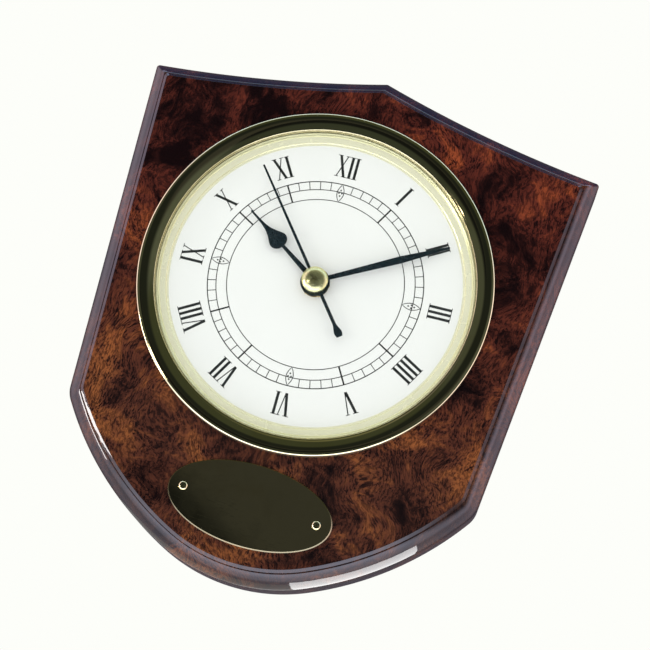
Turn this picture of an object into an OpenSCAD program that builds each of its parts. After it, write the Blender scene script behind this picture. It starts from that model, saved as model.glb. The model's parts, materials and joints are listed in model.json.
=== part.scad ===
// Wall clock on a shield-shaped lacquered wood board.
// A round brass-rimmed quartz insert sits in the board and an oval brass plate is pinned below it.
// The front faces -Y and +Z is up. The origin is the hanger's entry hole, on the back plane.

/* [Board] */
// Width across the two top corners
board_w = 173.5; // [166:0.5:184]
// Height of the top point above the centre of the dial
peak_up = 84; // [82:0.5:92]
// Height of the top corners above the centre of the dial
corner_up = 67.4; // [62:0.2:72]
// How far the top edges dip below a straight line
top_dip = 2; // [0.5:0.1:3]
// Lean of each side from upright, in degrees
side_lean = 4.5; // [3:0.1:6]
// Depth of the bottom point below the centre of the dial
bottom_down = 112.1; // [108:0.1:122]
// Radius of the bottom arc
tip_r = 65; // [55:1:75]
// Half angle of the bottom arc, in degrees
tip_half_angle = 24.7; // [22:0.1:28]
// Radius of the long arcs beside the bottom arc
flank_r = 118; // [112:1:124]
// Radius of the two lower corners
low_corner_r = 10; // [8:0.5:14]
// Thickness of the board
board_t = 20; // [19.6:0.2:26]
// Width of the rounded edge moulding
round_w = 5.2; // [3:0.1:6]
// Depth of the rounded edge moulding
round_d = 5.8; // [3:0.1:8]
// Height of the small step round the face
step_d = 1; // [0.5:0.1:1.6]
// Width of the small step round the face
step_w = 1; // [0.6:0.1:1.4]

/* [Name plate] */
// Width of the oval plate
plate_w = 60; // [50:1:64]
// Height of the oval plate
plate_h = 29.6; // [24:0.2:32]
// Thickness of the oval plate
plate_t = 0.8; // [0.5:0.1:1.5]
// Gap between the insert's rim and the top of the oval plate
plate_gap = 5.4; // [2:0.1:8]
// Distance between the two plate pins
pin_gap = 49; // [40:0.5:52]
// Radius of a pin's domed head
pin_head_r = 1.6; // [1.2:0.1:2.2]
// Height of a pin's domed head
pin_head_t = 0.8; // [0.5:0.1:1.2]
// Radius of a pin's shank
pin_shank_r = 0.6; // [0.4:0.05:0.9]
// Length of a pin's shank in the wood
pin_len = 7; // [4:0.5:10]

/* [Hanger] */
// Height of the hanger's entry hole above the centre of the dial
hanger_up = 67.5; // [66:0.1:68.5]
// Radius of the entry hole for a nail's head
entry_r = 4.25; // [3.9:0.05:4.5]
// Half width of the slot above the entry hole
slot_half = 1.9; // [1.5:0.1:2.2]
// Rise of the slot above the entry hole's centre
slot_rise = 4.6; // [4:0.1:5]
// Width of the hanger plate
hanger_w = 38; // [34:1:42]
// Reach of the hanger plate below the entry hole's centre
hanger_low = 5; // [4.8:0.1:5.4]
// Reach of the hanger plate above the entry hole's centre
hanger_high = 9; // [8.4:0.1:9.4]
// Thickness of the hanger plate
hanger_t = 1.2; // [1:0.1:1.6]
// Depth of the pocket behind the hanger plate
pocket_d = 7; // [5:0.5:9]
// Distance of each hanger screw from the middle
hanger_screw_x = 14.5; // [12:0.5:15]
// Radius of a hanger screw's countersunk head
hanger_head_r = 2.4; // [2:0.1:2.8]
// Radius of a hanger screw's shank
hanger_shank_r = 1.1; // [0.9:0.1:1.3]
// Length of a hanger screw
hanger_screw_len = 9; // [6:0.5:12]

/* [Insert] */
// How far the dial's centre lies to the left of the board's middle
insert_left = 2.5; // [-3:0.1:3]
// Turn of the insert in its hole, in degrees, anticlockwise from the front
insert_turn = 2.3; // [-5:0.1:5]
// Height of the board's face in front of the dial
face_h = 3.5; // [3:0.1:3.6]
// Outer radius of the bezel
bezel_r = 65; // [64.6:0.1:66]
// Radius of the bezel's rounded rim bead
bead_r = 1; // [0.7:0.05:1.2]
// Inner radius of the bezel's lip
lip_r = 58.2; // [57:0.1:58.6]
// Thickness of the bezel's lip
lip_t = 0.5; // [0.3:0.1:0.6]
// Outer radius of the bezel's skirt
skirt_r = 60.2; // [59.9:0.1:60.6]
// Thickness of the bezel's skirt
skirt_t = 0.8; // [0.7:0.05:1]
// Reach of the skirt behind the dial's face
skirt_back = 7; // [6.8:0.1:9]
// Rise of the domed glass over the bezel's lip
glass_rise = 10; // [9.8:0.1:12]
// Thickness of the glass
glass_t = 1.4; // [1:0.1:1.5]
// Height of the glass at the lip, in front of the dial
glass_edge_h = 2.9; // [2.8:0.1:3.4]
// Thickness of the gasket under the glass
gasket_t = 0.36; // [0.3:0.02:0.4]
// Inner radius of the sloped ring round the dial
rehaut_r = 53.5; // [52.5:0.1:54.5]
// Radius of the dial
dial_r = 57.5; // [57:0.1:57.7]
// Thickness of the dial
dial_t = 0.5; // [0.4:0.1:0.7]
// Radial thickness of the cup's wall
cup_wall = 3.2; // [2.4:0.1:3.6]
// Length of the cup's wall
cup_len = 4.7; // [4:0.1:5]
// Thickness of the cup's floor
cup_floor = 1.2; // [0.8:0.1:1.6]
// Radius of the window in the cup's floor
cup_window_r = 42; // [41:0.5:46]
// Thickness of the wire retaining ring
ring_t = 0.8; // [0.6:0.05:0.9]
// Thickness of the rubber grip ring
grip_t = 0.3; // [0.2:0.05:0.4]
// Width of the rubber grip ring
grip_w = 4; // [3:0.5:5]

/* [Hands] */
// Angle of the hour hand, clockwise from twelve
hour_angle = 304.9; // [0:0.1:360]
// Angle of the minute hand, clockwise from twelve
minute_angle = 61.3; // [0:0.1:360]
// Angle of the second hand, clockwise from twelve
second_angle = 322.3; // [0:0.1:360]
// Length of the hour hand
hour_len = 36.2; // [33:0.1:40]
// Radius at which the hour hand's spade begins
spade_r = 17; // [14:0.5:20]
// Length of the spade's swelling
spade_len = 13; // [10:0.5:14]
// Half width of the spade
spade_half = 3.45; // [2.5:0.05:4.5]
// Radius of the hour hand's boss
hour_boss_r = 5.4; // [4.8:0.1:6]
// Length of the minute hand
minute_len = 50.4; // [46:0.1:52]
// Half width of the minute hand at its widest
minute_half = 1.3; // [0.9:0.05:2]
// Radius at which the minute hand is widest
minute_wide_r = 32; // [26:0.5:38]
// Radius of the minute hand's boss
minute_boss_r = 3.6; // [3:0.1:4.5]
// Length of the second hand
second_len = 48.6; // [44:0.1:51]
// Length of the second hand's tail
tail_len = 23; // [18:0.5:26]
// Half width of the tail's paddle
paddle_half = 1.45; // [1:0.05:2]
// Thickness of a hand
hand_t = 0.35; // [0.25:0.05:0.45]
// Radius of the domed centre cap
cap_r = 4.8; // [4:0.1:5.5]
// Height of the centre cap's straight side
cap_side = 1.3; // [0.8:0.1:1.6]
// Height of the centre cap's dome above its side
cap_dome = 2.3; // [1.5:0.1:2.6]

/* [Movement] */
// Width and height of the movement's case
case_w = 56; // [54:0.5:58]
// Depth of the movement's case
case_depth = 15.2; // [15.1:0.05:15.5]
// Thickness of the case's walls
case_wall = 1.2; // [1:0.05:1.3]
// Radius of the case's corners
case_corner = 3; // [2:0.25:3.5]
// Thickness of the rubber washer under the dial
rubber_t = 0.4; // [0.3:0.05:0.45]
// Radius of the rubber washer
rubber_r = 9; // [7:0.5:12]
// Radius of the threaded bush
bush_r = 3.5; // [3.4:0.05:3.8]
// Reach of the bush in front of the dial
bush_front = 1.8; // [1.7:0.05:1.9]
// Width across the flats of the bush's nut
nut_flats = 9.6; // [9:0.1:10]
// Thickness of the nut
nut_t = 1.4; // [1.2:0.05:1.45]
// Thickness of the brass washer under the nut
washer_t = 0.2; // [0.15:0.05:0.25]
// Radius of the brass washer
washer_r = 5.2; // [4.8:0.1:6]
// Radius of the battery
battery_r = 7.05; // [6.9:0.05:7.1]
// Length of the battery over its contact nub
battery_len = 50.5; // [49.5:0.1:50.6]
// Radius of the setting knob
knob_r = 5.6; // [4.5:0.1:5.8]
// Thickness of the setting knob
knob_t = 2; // [1.5:0.1:2.1]
// Width of the winding on the coil
winding_len = 12.3; // [10:0.1:12.5]
// Radius of the winding
winding_r = 3.9; // [3:0.1:4]
// Radius of the rotor's magnet
magnet_r = 2.9; // [2.4:0.1:3]
// Thickness of the stator plate
stator_t = 1.2; // [0.8:0.1:1.3]

/* [Wheels] */
// Tooth module of the rotor pinion and the intermediate wheel
rotor_module = 0.25; // [0.24:0.005:0.255]
// Tooth module of the intermediate pinion and the second wheel
second_module = 0.35; // [0.34:0.005:0.355]
// Tooth module of the second pinion and the third wheel
third_module = 0.24; // [0.23:0.005:0.25]
// Tooth module of the cannon pinion and the minute wheel
minute_module = 0.45; // [0.44:0.005:0.455]
// Thickness of the train's wheels
wheel_t = 0.6; // [0.4:0.05:0.7]
// Radius of the thin arbors
arbor_r = 0.4; // [0.3:0.02:0.45]
// Running gap between an arbor and its hole
run_gap = 0.06; // [0.04:0.01:0.08]

/* [Hidden] */
$fn = 96;

brass = [0.72, 0.62, 0.30];
wood = [0.36, 0.15, 0.08];
steel = [0.72, 0.73, 0.75];
black = [0.08, 0.08, 0.09];
hand_green = [0.07, 0.11, 0.10];

// Small slack between pieces that sit against each other
fit_gap = 0.05;
// A cut runs this far past the face it opens
past = 1;

// Board outline. Distances here are from the centre of the dial, on the board's middle line.
top_run = board_w / 2;
top_fall = peak_up - corner_up;
top_chord = norm([top_run, top_fall]);
top_arc_r = (pow(top_chord / 2, 2) + pow(top_dip, 2)) / (2 * top_dip);
// The top arc bends round a point above the board
top_arc_c = [top_run / 2, (peak_up + corner_up) / 2]
    + (top_arc_r - top_dip) * [top_fall, top_run] / top_chord;
tip_c = [0, tip_r - bottom_down];
flank_c = tip_c + (flank_r - tip_r) * [-sin(tip_half_angle), cos(tip_half_angle)];
side_dir = [-sin(side_lean), -cos(side_lean)];
side_in = [-cos(side_lean), sin(side_lean)];
top_corner = [top_run, corner_up];
// The low corner's centre is its radius inside the side line and inside the flank arc
low_rel = top_corner + low_corner_r * side_in - flank_c;
low_run = -(low_rel * side_dir)
    + sqrt(pow(low_rel * side_dir, 2) - low_rel * low_rel + pow(flank_r - low_corner_r, 2));
low_c = top_corner + low_corner_r * side_in + low_run * side_dir;
low_angle = atan2(low_c[1] - flank_c[1], low_c[0] - flank_c[0]);
tip_join_angle = tip_half_angle - 90;
top_steps = 6;
low_steps = 5;
flank_steps = 10;
tip_steps = 5;

// Point at a radius and an angle round a centre
function round_point(c, r, a) = c + r * [cos(a), sin(a)];

// Where the top arc meets the side line, both drawn in by d
function corner_point(d) =
    let (base = top_corner + d * side_in, rel = base - top_arc_c, along = rel * side_dir)
    base + (-along + sqrt(along * along - rel * rel + pow(top_arc_r + d, 2))) * side_dir;

// Right half of the outline from the top point to the bottom point, drawn in by d
function half_outline(d) =
    let (
        peak_a = atan2(-sqrt(pow(top_arc_r + d, 2) - pow(top_arc_c[0], 2)), -top_arc_c[0]),
        corner = corner_point(d),
        corner_a = atan2(corner[1] - top_arc_c[1], corner[0] - top_arc_c[0]),
        side_a = -side_lean
    )
    concat(
        [for (i = [0:top_steps])
            round_point(top_arc_c, top_arc_r + d, peak_a + (corner_a - peak_a) * i / top_steps)],
        [for (i = [0:low_steps])
            round_point(low_c, low_corner_r - d, side_a + (low_angle - side_a) * i / low_steps)],
        [for (i = [1:flank_steps])
            round_point(flank_c, flank_r - d, low_angle + (tip_join_angle - low_angle) * i / flank_steps)],
        [for (i = [1:tip_steps])
            round_point(tip_c, tip_r - d, tip_join_angle - tip_half_angle * i / tip_steps)]
    );

// The whole outline: the right half down, then its mirror image back up
function outline(d) =
    let (half = half_outline(d), last = len(half) - 1)
    concat(half, [for (i = [last - 1:-1:1]) [-half[i][0], half[i][1]]]);

// Rounded edge from the sides to the step: how far drawn in, and how far in front of the wall
round_steps = 6;
round_top = board_t - step_d;
round_low = round_top - round_d;
round_profile = [for (i = [0:round_steps])
    [round_w * (1 - cos(90 * i / round_steps)), round_low + round_d * sin(90 * i / round_steps)]];

// The oval plate hangs below the insert's rim
plate_down = bezel_r + plate_gap + plate_h / 2;

// Insert: heights are in front of the dial's face
dial_y = face_h - board_t;
hole_r = skirt_r + grip_t + fit_gap;
skirt_in = skirt_r - skirt_t;
lip_under = glass_edge_h + 2 * fit_gap;
bead_c = [bezel_r - bead_r, face_h + 1.2 * bead_r];
glass_r = skirt_in - 2 * fit_gap;
glass_round = (lip_r * lip_r + glass_rise * glass_rise) / (2 * glass_rise);
glass_apex = glass_edge_h + glass_rise;
gasket_top = glass_under(glass_r) - fit_gap;
gasket_bottom = gasket_top - gasket_t;
cup_back = -dial_t - cup_len;
groove_r = skirt_in + skirt_t * 0.6;
ring_in_r = skirt_in - 0.8;
arc_steps = 24;

// Height of the glass's outer and inner faces at a radius
function glass_over(r) = glass_apex - glass_round + sqrt(glass_round * glass_round - r * r);
function glass_under(r) = glass_over(r) - glass_t;

// Movement: heights in front of the dial's face, so those behind it are negative
case_front = -dial_t - rubber_t;
case_back = case_front - case_depth;
in_front = case_front - case_wall;
in_back = case_back + case_wall;
in_half = case_w / 2 - case_wall;
bay_wall = 1;
bay_low_gap = 1.25;
bay_top_gap = 0.25;
battery_back_gap = 0.3;
battery_h = case_back + battery_back_gap + battery_r;
battery_y = -in_half + bay_low_gap + battery_r;
bay_top = battery_y + battery_r + bay_top_gap;
contact_t = 0.4;
contact_gap = 0.2;
contact_w = 4;
battery_end = in_half - contact_t - contact_gap;

// Coaxial tubes at the centre, each with a running gap to the next
second_arbor_r = 0.5;
cannon_in = second_arbor_r + run_gap;
cannon_out = 1.5;
hour_in = cannon_out + run_gap;
hour_out = 2.5;
bush_in = hour_out + run_gap;
bush_flange_r = 6;
bush_flange_t = 0.8;

// Layers of the motion wheels and the train, front face of each
layer_gap = 0.3;
hour_h = in_front - bush_flange_t - layer_gap;
hour_t = 1;
cannon_h = hour_h - hour_t - 0.2;
cannon_t = 1.2;
minute_t = 0.8;
minute_h = cannon_h - (cannon_t - minute_t) / 2;
plate_front = cannon_h - cannon_t - 0.1;
plate_thick = 0.6;
plate_back = plate_front - plate_thick;
spring_t = 0.4;
centre_h = plate_back - spring_t - 0.1;
pinion_over = 0.2;
cannon_back = centre_h - 0.7 - 0.4;
second_pinion_h = cannon_back - layer_gap;
third_h = second_pinion_h - pinion_over;
pinion_t = 1.1;
second_h = second_pinion_h - pinion_t - 0.5;
intermediate_h = second_h - 1.3;
bridge_front = intermediate_h - 0.7 - 0.6;
bridge_t = 0.8;
bridge_back = bridge_front - bridge_t;
stator_h = second_pinion_h;
magnet_front = second_pinion_h + 0.8;
magnet_t = 3;
stator_mid = stator_h - stator_t / 2;

// Teeth: wheels and pinions
rotor_teeth = 8;
intermediate_teeth = 48;
intermediate_pinion_teeth = 8;
second_teeth = 40;
second_pinion_teeth = 8;
third_teeth = 60;
third_pinion_teeth = 8;
centre_teeth = 64;
cannon_teeth = 12;
minute_teeth = 36;
minute_pinion_teeth = 10;
hour_teeth = 40;
// Both meshes on a shared pair of arbors have the same distance between centres
third_dist = third_module * (second_pinion_teeth + third_teeth) / 2;
centre_module = 2 * third_dist / (third_pinion_teeth + centre_teeth);
minute_dist = minute_module * (cannon_teeth + minute_teeth) / 2;
hour_module = 2 * minute_dist / (minute_pinion_teeth + hour_teeth);
second_dist = second_module * (intermediate_pinion_teeth + second_teeth) / 2;
rotor_dist = rotor_module * (rotor_teeth + intermediate_teeth) / 2;

// Places of the arbors, seen from the front with the dial's centre at zero
third_angle = 150;
intermediate_angle = 45;
rotor_angle = 10;
minute_arbor_angle = -5;
third_pos = third_dist * [cos(third_angle), sin(third_angle)];
intermediate_pos = second_dist * [cos(intermediate_angle), sin(intermediate_angle)];
rotor_pos = intermediate_pos + rotor_dist * [cos(rotor_angle), sin(rotor_angle)];
minute_pos = minute_dist * [cos(minute_arbor_angle), sin(minute_arbor_angle)];
knob_wall = 1;
knob_gap = 0.6;
knob_well_r = knob_r + knob_gap;
knob_front = case_back + 0.2 + knob_t;
well_floor = knob_front + 0.3;
hub_r = 1.5;
pillar_r = 1.4;
screw_r = 0.68;
screw_hole_r = 0.7;
screw_head_r = 1.4;
screw_head_t = 0.8;
boss_r = 1.5;
bosses = [[-1, -6], [1, -6], [-1, 11], [1, 15]];
boss_x = in_half - contact_t - boss_r;

// Coil, stator and circuit board
core_w = 3.6;
core_low = 6.5;
core_y = in_half - core_low;
leg_left = 1.2;
leg_gap = 0.6;
bobbin_left = leg_left + core_w + leg_gap;
flange_t = 0.6;
bobbin_len = winding_len + 2 * flange_t;
leg_right = bobbin_left + bobbin_len + leg_gap;
flange_r = winding_r + 0.3;
rotor_hole_r = magnet_r + 0.6;
circuit_left = -in_half + contact_t;
circuit_right = 0.4;
circuit_low = core_y - 5.3;
circuit_high = in_half - contact_t;
circuit_t = 0.8;
circuit_front = bridge_front + 0.1;
chip_in = [15, 5];
chip_r = 2.6;
quartz_in = [6, 3];
contact_low = 2;
contact_pad = 3.5;
contact_spread = 4.5;

// Plates that carry the arbors
train_side = in_half - 4.3;
train_low = bay_top + bay_wall + 1.2;
train_top = core_y - flange_r - 2.5;
train_cut = [5.5, 1.1];
train_split = 1;
train_shoulder = 7;
pillars = [[2.5 - train_side, train_low + 2], [2 - train_side, train_top - 2.6], [train_side - 2, train_low + 3.5]];
case_screw_len = 8;
train_screw_len = 5;

// Hands: height of each hand's underside
hour_hand_h = bush_front + 0.2;
minute_hand_h = hour_hand_h + hand_t + 0.55;
second_hand_h = minute_hand_h + hand_t + 0.45;
cap_h = second_hand_h + hand_t;
arbor_in_cap = 0.8;
stem_half = 0.65;
tip_half = 0.3;

// Moves children to the insert: x right, y up and z out of the dial
module on_dial() {
    translate([-insert_left, dial_y, -hanger_up])
        rotate([90, 0, 0])
            rotate([0, 0, insert_turn])
                children();
}

// Moves children to the board's back: x right, y up from the dial's centre, z forwards
module on_board() {
    translate([0, 0, -hanger_up])
        rotate([90, 0, 0])
            children();
}

// Straight round bar or hole between two heights
module bar(r, low, high) {
    translate([0, 0, low])
        cylinder(r = r, h = high - low);
}

// Ring between two radii and two heights
module tube(outer, inner, low, high) {
    difference() {
        bar(outer, low, high);
        bar(inner, low - past, high + past);
    }
}

// Body cut round from a half section of radius and height
module turned(points, turn = 360) {
    rotate_extrude(angle = turn)
        polygon(points);
}

// Flat plate from its back height with a thickness
module sheet(low, t) {
    translate([0, 0, low])
        linear_extrude(height = t)
            children();
}

module round_box(w, r) {
    union() {
        square([w - 2 * r, w], center = true);
        square([w, w - 2 * r], center = true);
        for (x = [-1, 1], y = [-1, 1])
            translate([x * (w / 2 - r), y * (w / 2 - r)])
                circle(r = r);
    }
}

// Four corners of each tooth, all the way round
function tooth_points(teeth, m, phase) =
    let (pitch_r = teeth * m / 2, step = 360 / teeth, tip = pitch_r + 0.75 * m, root = pitch_r - 1.2 * m)
    [for (i = [0:teeth - 1], k = [0:3])
        let (share = [-0.27, -0.1, 0.1, 0.27][k], r = (k == 0 || k == 3) ? root : tip)
        round_point([0, 0], r, phase + step * (i + share))];

// Phase that puts a gap of the second wheel on a tooth of the first
function mesh_phase(dir, phase, teeth, other_teeth) =
    dir + 180 - 360 / other_teeth * (0.5 - (dir - phase) * teeth / 360);

// Toothed disc with its front face at a height
module toothed(teeth, m, phase, front, t) {
    sheet(front - t, t)
        polygon(tooth_points(teeth, m, phase));
}

module at(pos) {
    translate([pos[0], pos[1], 0])
        children();
}

// Points a hand's flat outline along an angle clockwise from twelve
module hand_at(angle, low) {
    translate([0, 0, low])
        rotate([0, 0, -angle])
            linear_extrude(height = hand_t)
                children();
}

// Outline that is the same on both sides of a line, from half widths along it
function both_sides(half) =
    concat([for (p = half) [p[1], p[0]]], [for (i = [len(half) - 1:-1:0]) [-half[i][1], half[i][0]]]);

// The rounded part of the board: the outline drawn in step by step towards the face
module rounded_edge() {
    rings = len(round_profile);
    count = len(outline(0));
    back_middle = rings * count;
    points = concat([for (e = round_profile, p = outline(e[0])) [p[0], p[1], e[1]]],
        [[0, 0, round_low], [0, 0, round_top]]);
    sides = [for (j = [0:rings - 2], i = [0:count - 1], k = [0, 1])
        let (a = j * count + i, b = j * count + (i + 1) % count)
        k == 0 ? [a, b, a + count] : [b, b + count, a + count]];
    back = [for (i = [0:count - 1]) [(i + 1) % count, i, back_middle]];
    front = [for (i = [0:count - 1])
        [(rings - 1) * count + i, (rings - 1) * count + (i + 1) % count, back_middle + 1]];
    polyhedron(points = points, faces = concat(sides, back, front), convexity = 4);
}

module shield_board() {
    color(wood)
    difference() {
        on_board() {
            sheet(0, round_low)
                polygon(outline(0));
            rounded_edge();
            sheet(round_top, step_d)
                polygon(outline(round_w + step_w));
        }
        on_dial()
            bar(hole_r, -board_t - past, face_h + past);
        hanger_recess();
        for (x = [-1, 1])
            on_board()
                translate([x * pin_gap / 2, -plate_down, board_t - pin_len])
                    cylinder(r = pin_shank_r, h = pin_len + past);
    }
}

// Room in the wood for the hanger plate, its screws and a nail's head
module hanger_recess() {
    translate([-hanger_w / 2, -hanger_t, -hanger_low])
        cube([hanger_w, hanger_t + past, hanger_low + hanger_high]);
    translate([-entry_r - 2, -hanger_t - pocket_d, -entry_r])
        cube([2 * entry_r + 4, pocket_d + past, entry_r + slot_rise + slot_half + 1.5]);
    for (x = [-1, 1])
        translate([x * hanger_screw_x, 0, 0])
            rotate([90, 0, 0])
                cylinder(r = hanger_shank_r, h = hanger_screw_len);
}

module name_plate() {
    color(brass)
    on_board()
        difference() {
            translate([0, -plate_down, board_t])
                linear_extrude(height = plate_t)
                    polygon([for (i = [0:71]) [plate_w / 2 * cos(5 * i), plate_h / 2 * sin(5 * i)]]);
            for (x = [-1, 1])
                translate([x * pin_gap / 2, -plate_down, board_t - past])
                    cylinder(r = pin_shank_r, h = plate_t + 2 * past);
        }
}

module plate_pins() {
    dome_r = (pin_head_r * pin_head_r + pin_head_t * pin_head_t) / (2 * pin_head_t);
    steps = 6;
    color(brass)
    on_board()
        for (x = [-1, 1])
            translate([x * pin_gap / 2, -plate_down, board_t + plate_t])
                turned(concat(
                    [[0, plate_t * -1 - pin_len + fit_gap], [pin_shank_r, plate_t * -1 - pin_len + fit_gap],
                     [pin_shank_r, 0]],
                    [for (i = [0:steps])
                        let (r = pin_head_r * cos(90 * i / steps))
                        [r, pin_head_t - dome_r + sqrt(dome_r * dome_r - r * r)]]
                ));
}

module hanger_plate() {
    color(brass)
    difference() {
        translate([-hanger_w / 2, -hanger_t, -hanger_low])
            cube([hanger_w, hanger_t, hanger_low + hanger_high]);
        rotate([90, 0, 0]) {
            bar(entry_r, -past, hanger_t + past);
            translate([-slot_half, 0, -past])
                cube([2 * slot_half, slot_rise, hanger_t + 2 * past]);
            translate([0, slot_rise, 0])
                bar(slot_half, -past, hanger_t + past);
            for (x = [-1, 1])
                translate([x * hanger_screw_x, 0, 0])
                    cylinder(r1 = hanger_head_r, r2 = hanger_shank_r, h = hanger_t);
        }
    }
}

module hanger_screws() {
    color(steel)
    for (x = [-1, 1])
        translate([x * hanger_screw_x, 0, 0])
            rotate([90, 0, 0])
                turned([[0, 0], [hanger_head_r, 0], [hanger_shank_r, hanger_t],
                    [hanger_shank_r, hanger_screw_len], [0, hanger_screw_len]]);
}

module bezel() {
    steps = 10;
    low_a = -90;
    high_a = 125;
    color(brass)
    on_dial()
        turned(concat(
            [[lip_r, lip_under], [lip_r, lip_under + lip_t]],
            [for (i = [0:steps]) round_point(bead_c, bead_r, high_a + (low_a - high_a) * i / steps)],
            [[bezel_r - bead_r - 0.2, face_h], [skirt_r, face_h], [skirt_r, -skirt_back],
             [skirt_in, -skirt_back], [skirt_in, cup_back - ring_t - fit_gap],
             [groove_r, cup_back - ring_t - fit_gap], [groove_r, cup_back], [skirt_in, cup_back],
             [skirt_in, lip_under]]
        ));
}

module glass() {
    radii = [for (i = [0:arc_steps]) glass_r * i / arc_steps];
    color([0.85, 0.92, 0.92, 0.3])
    on_dial()
        turned(concat(
            [for (r = radii) [r, glass_over(r)]],
            [for (i = [arc_steps:-1:0]) [radii[i], glass_under(radii[i])]]
        ));
}

module glass_gasket() {
    color(black)
    on_dial()
        tube(glass_r, lip_r - fit_gap, gasket_bottom, gasket_top);
}

module rehaut_ring() {
    top_r = lip_r - 2 * fit_gap;
    color([0.85, 0.78, 0.50])
    on_dial()
        turned([[rehaut_r, 0], [rehaut_r, 0.15], [rehaut_r + 1.2, 0.3], [top_r - 0.9, gasket_top - 0.05],
            [top_r, gasket_top + 0.1], [top_r, gasket_bottom], [glass_r, gasket_bottom],
            [glass_r, -dial_t], [dial_r + fit_gap, -dial_t], [dial_r + fit_gap, 0]]);
}

module dial() {
    color([0.95, 0.96, 0.93])
    on_dial()
        tube(dial_r, bush_r + fit_gap, -dial_t, 0);
}

module insert_cup() {
    cup_r = glass_r - fit_gap;
    color(black)
    on_dial()
        turned([[cup_r - cup_wall, -dial_t], [cup_r, -dial_t], [cup_r, cup_back],
            [ring_in_r - fit_gap, cup_back], [ring_in_r - fit_gap, cup_back - cup_floor],
            [cup_window_r, cup_back - cup_floor], [cup_window_r, cup_back],
            [cup_r - cup_wall, cup_back]]);
}

module retaining_ring() {
    color(steel)
    on_dial()
        rotate([0, 0, 100])
            turned([[ring_in_r, cup_back - ring_t], [groove_r - fit_gap, cup_back - ring_t],
                [groove_r - fit_gap, cup_back], [ring_in_r, cup_back]], 340);
}

module grip_ring() {
    grip_front = face_h - 1.5;
    ribs = 3;
    rib = grip_w / (2 * ribs - 1);
    color(black)
    on_dial()
        difference() {
            tube(skirt_r + grip_t, skirt_r, grip_front - grip_w, grip_front);
            for (i = [1:ribs - 1])
                tube(skirt_r + grip_t + past, skirt_r + grip_t / 2,
                    grip_front - 2 * i * rib, grip_front - (2 * i - 1) * rib);
        }
}

module rubber_washer() {
    color(black)
    on_dial()
        tube(rubber_r, bush_r + fit_gap, case_front, -dial_t);
}

module bush_washer() {
    color(brass)
    on_dial()
        tube(washer_r, bush_r + fit_gap, 0, washer_t);
}

module bush_nut() {
    color(brass)
    on_dial()
        difference() {
            translate([0, 0, washer_t])
                cylinder(d = nut_flats / cos(30), h = nut_t, $fn = 6);
            bar(bush_r + fit_gap, 0, washer_t + nut_t + past);
        }
}

module threaded_bush() {
    color(brass)
    on_dial()
        difference() {
            union() {
                bar(bush_r, in_front - fit_gap, bush_front);
                bar(bush_flange_r, in_front - bush_flange_t, in_front);
            }
            bar(bush_in, in_front - bush_flange_t - past, bush_front + past);
        }
}

// Solid areas of the stator seen from the front: two legs, a bar through the coil and two poles
module stator_outline() {
    core_low = core_y - core_w / 2;
    core_high = core_y + core_w / 2;
    leg_end = leg_right + core_w;
    pole_low = rotor_pos[1] - rotor_hole_r - 1.2;
    pole_high = rotor_pos[1] + rotor_hole_r + 1;
    pole_left = rotor_pos[0] - rotor_hole_r - 1.9;
    polygon([[leg_left, core_high], [leg_left, pole_high + 0.6], [pole_left, pole_low + 2.4],
        [pole_left, pole_low], [leg_end, pole_low], [leg_end, core_high],
        [leg_right, core_low + core_w], [leg_right, core_low], [leg_right, pole_high],
        [leg_left + core_w, pole_high], [leg_left + core_w, core_low], [leg_left + core_w, core_high]]);
    translate([leg_left, core_low])
        square([leg_end - leg_left, core_w]);
}

module stator() {
    color(steel)
    on_dial()
        difference() {
            sheet(stator_h - stator_t, stator_t)
                stator_outline();
            at(rotor_pos)
                bar(rotor_hole_r, stator_h - stator_t - past, stator_h + past);
        }
}

// Places children along the coil: their z runs to the right from the bobbin's left face
module along_coil() {
    translate([bobbin_left, core_y, stator_mid])
        rotate([0, 90, 0])
            children();
}

// The square hole that takes the stator's bar
module core_hole() {
    translate([-stator_t / 2 - fit_gap, -core_w / 2 - fit_gap, -past])
        cube([stator_t + 2 * fit_gap, core_w + 2 * fit_gap, bobbin_len + 2 * past]);
}

module coil_bobbin() {
    color([0.16, 0.16, 0.18])
    on_dial()
        along_coil()
            difference() {
                union() {
                    bar(2.5, 0, bobbin_len);
                    bar(flange_r, 0, flange_t);
                    bar(flange_r, bobbin_len - flange_t, bobbin_len);
                }
                core_hole();
            }
}

module coil_winding() {
    color([0.70, 0.36, 0.16])
    on_dial()
        along_coil()
            tube(winding_r, 2.5, flange_t, bobbin_len - flange_t);
}

module front_case() {
    color(black)
    on_dial()
        difference() {
            sheet(in_back, case_front - in_back)
                round_box(case_w, case_corner);
            translate([-in_half, bay_top + bay_wall, in_back - past])
                cube([2 * in_half, in_half - bay_top - bay_wall, in_front - in_back + past]);
            translate([-in_half, -in_half, in_back - past])
                cube([2 * in_half, bay_top + in_half, battery_h + battery_r + 0.1 - in_back + past]);
            bar(bush_r + fit_gap, in_front - past, case_front + past);
            // Notches in the bay's wall for the two contact strips
            for (x = [-1, 1])
                translate([x * (in_half - contact_t / 2), bay_top + bay_wall / 2, in_back])
                    cube([contact_t + 2 * fit_gap, 2 * bay_wall, 2 * contact_w + 4], center = true);
        }
    color(black)
    on_dial() {
        for (p = pillars)
            at(p)
                bar(pillar_r, plate_front, in_front);
        for (p = bosses)
            at([p[0] * boss_x, p[1]])
                tube(boss_r, screw_hole_r, in_back, in_front);
        for (x = [leg_left + core_w / 2, leg_right + core_w / 2])
            at([x, core_y])
                bar(1.2, stator_h, in_front);
        for (p = [[circuit_left + 2, circuit_low + 2], [circuit_right - 3, circuit_high - 2]])
            at(p)
                bar(1, circuit_front, in_front);
    }
}

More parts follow.
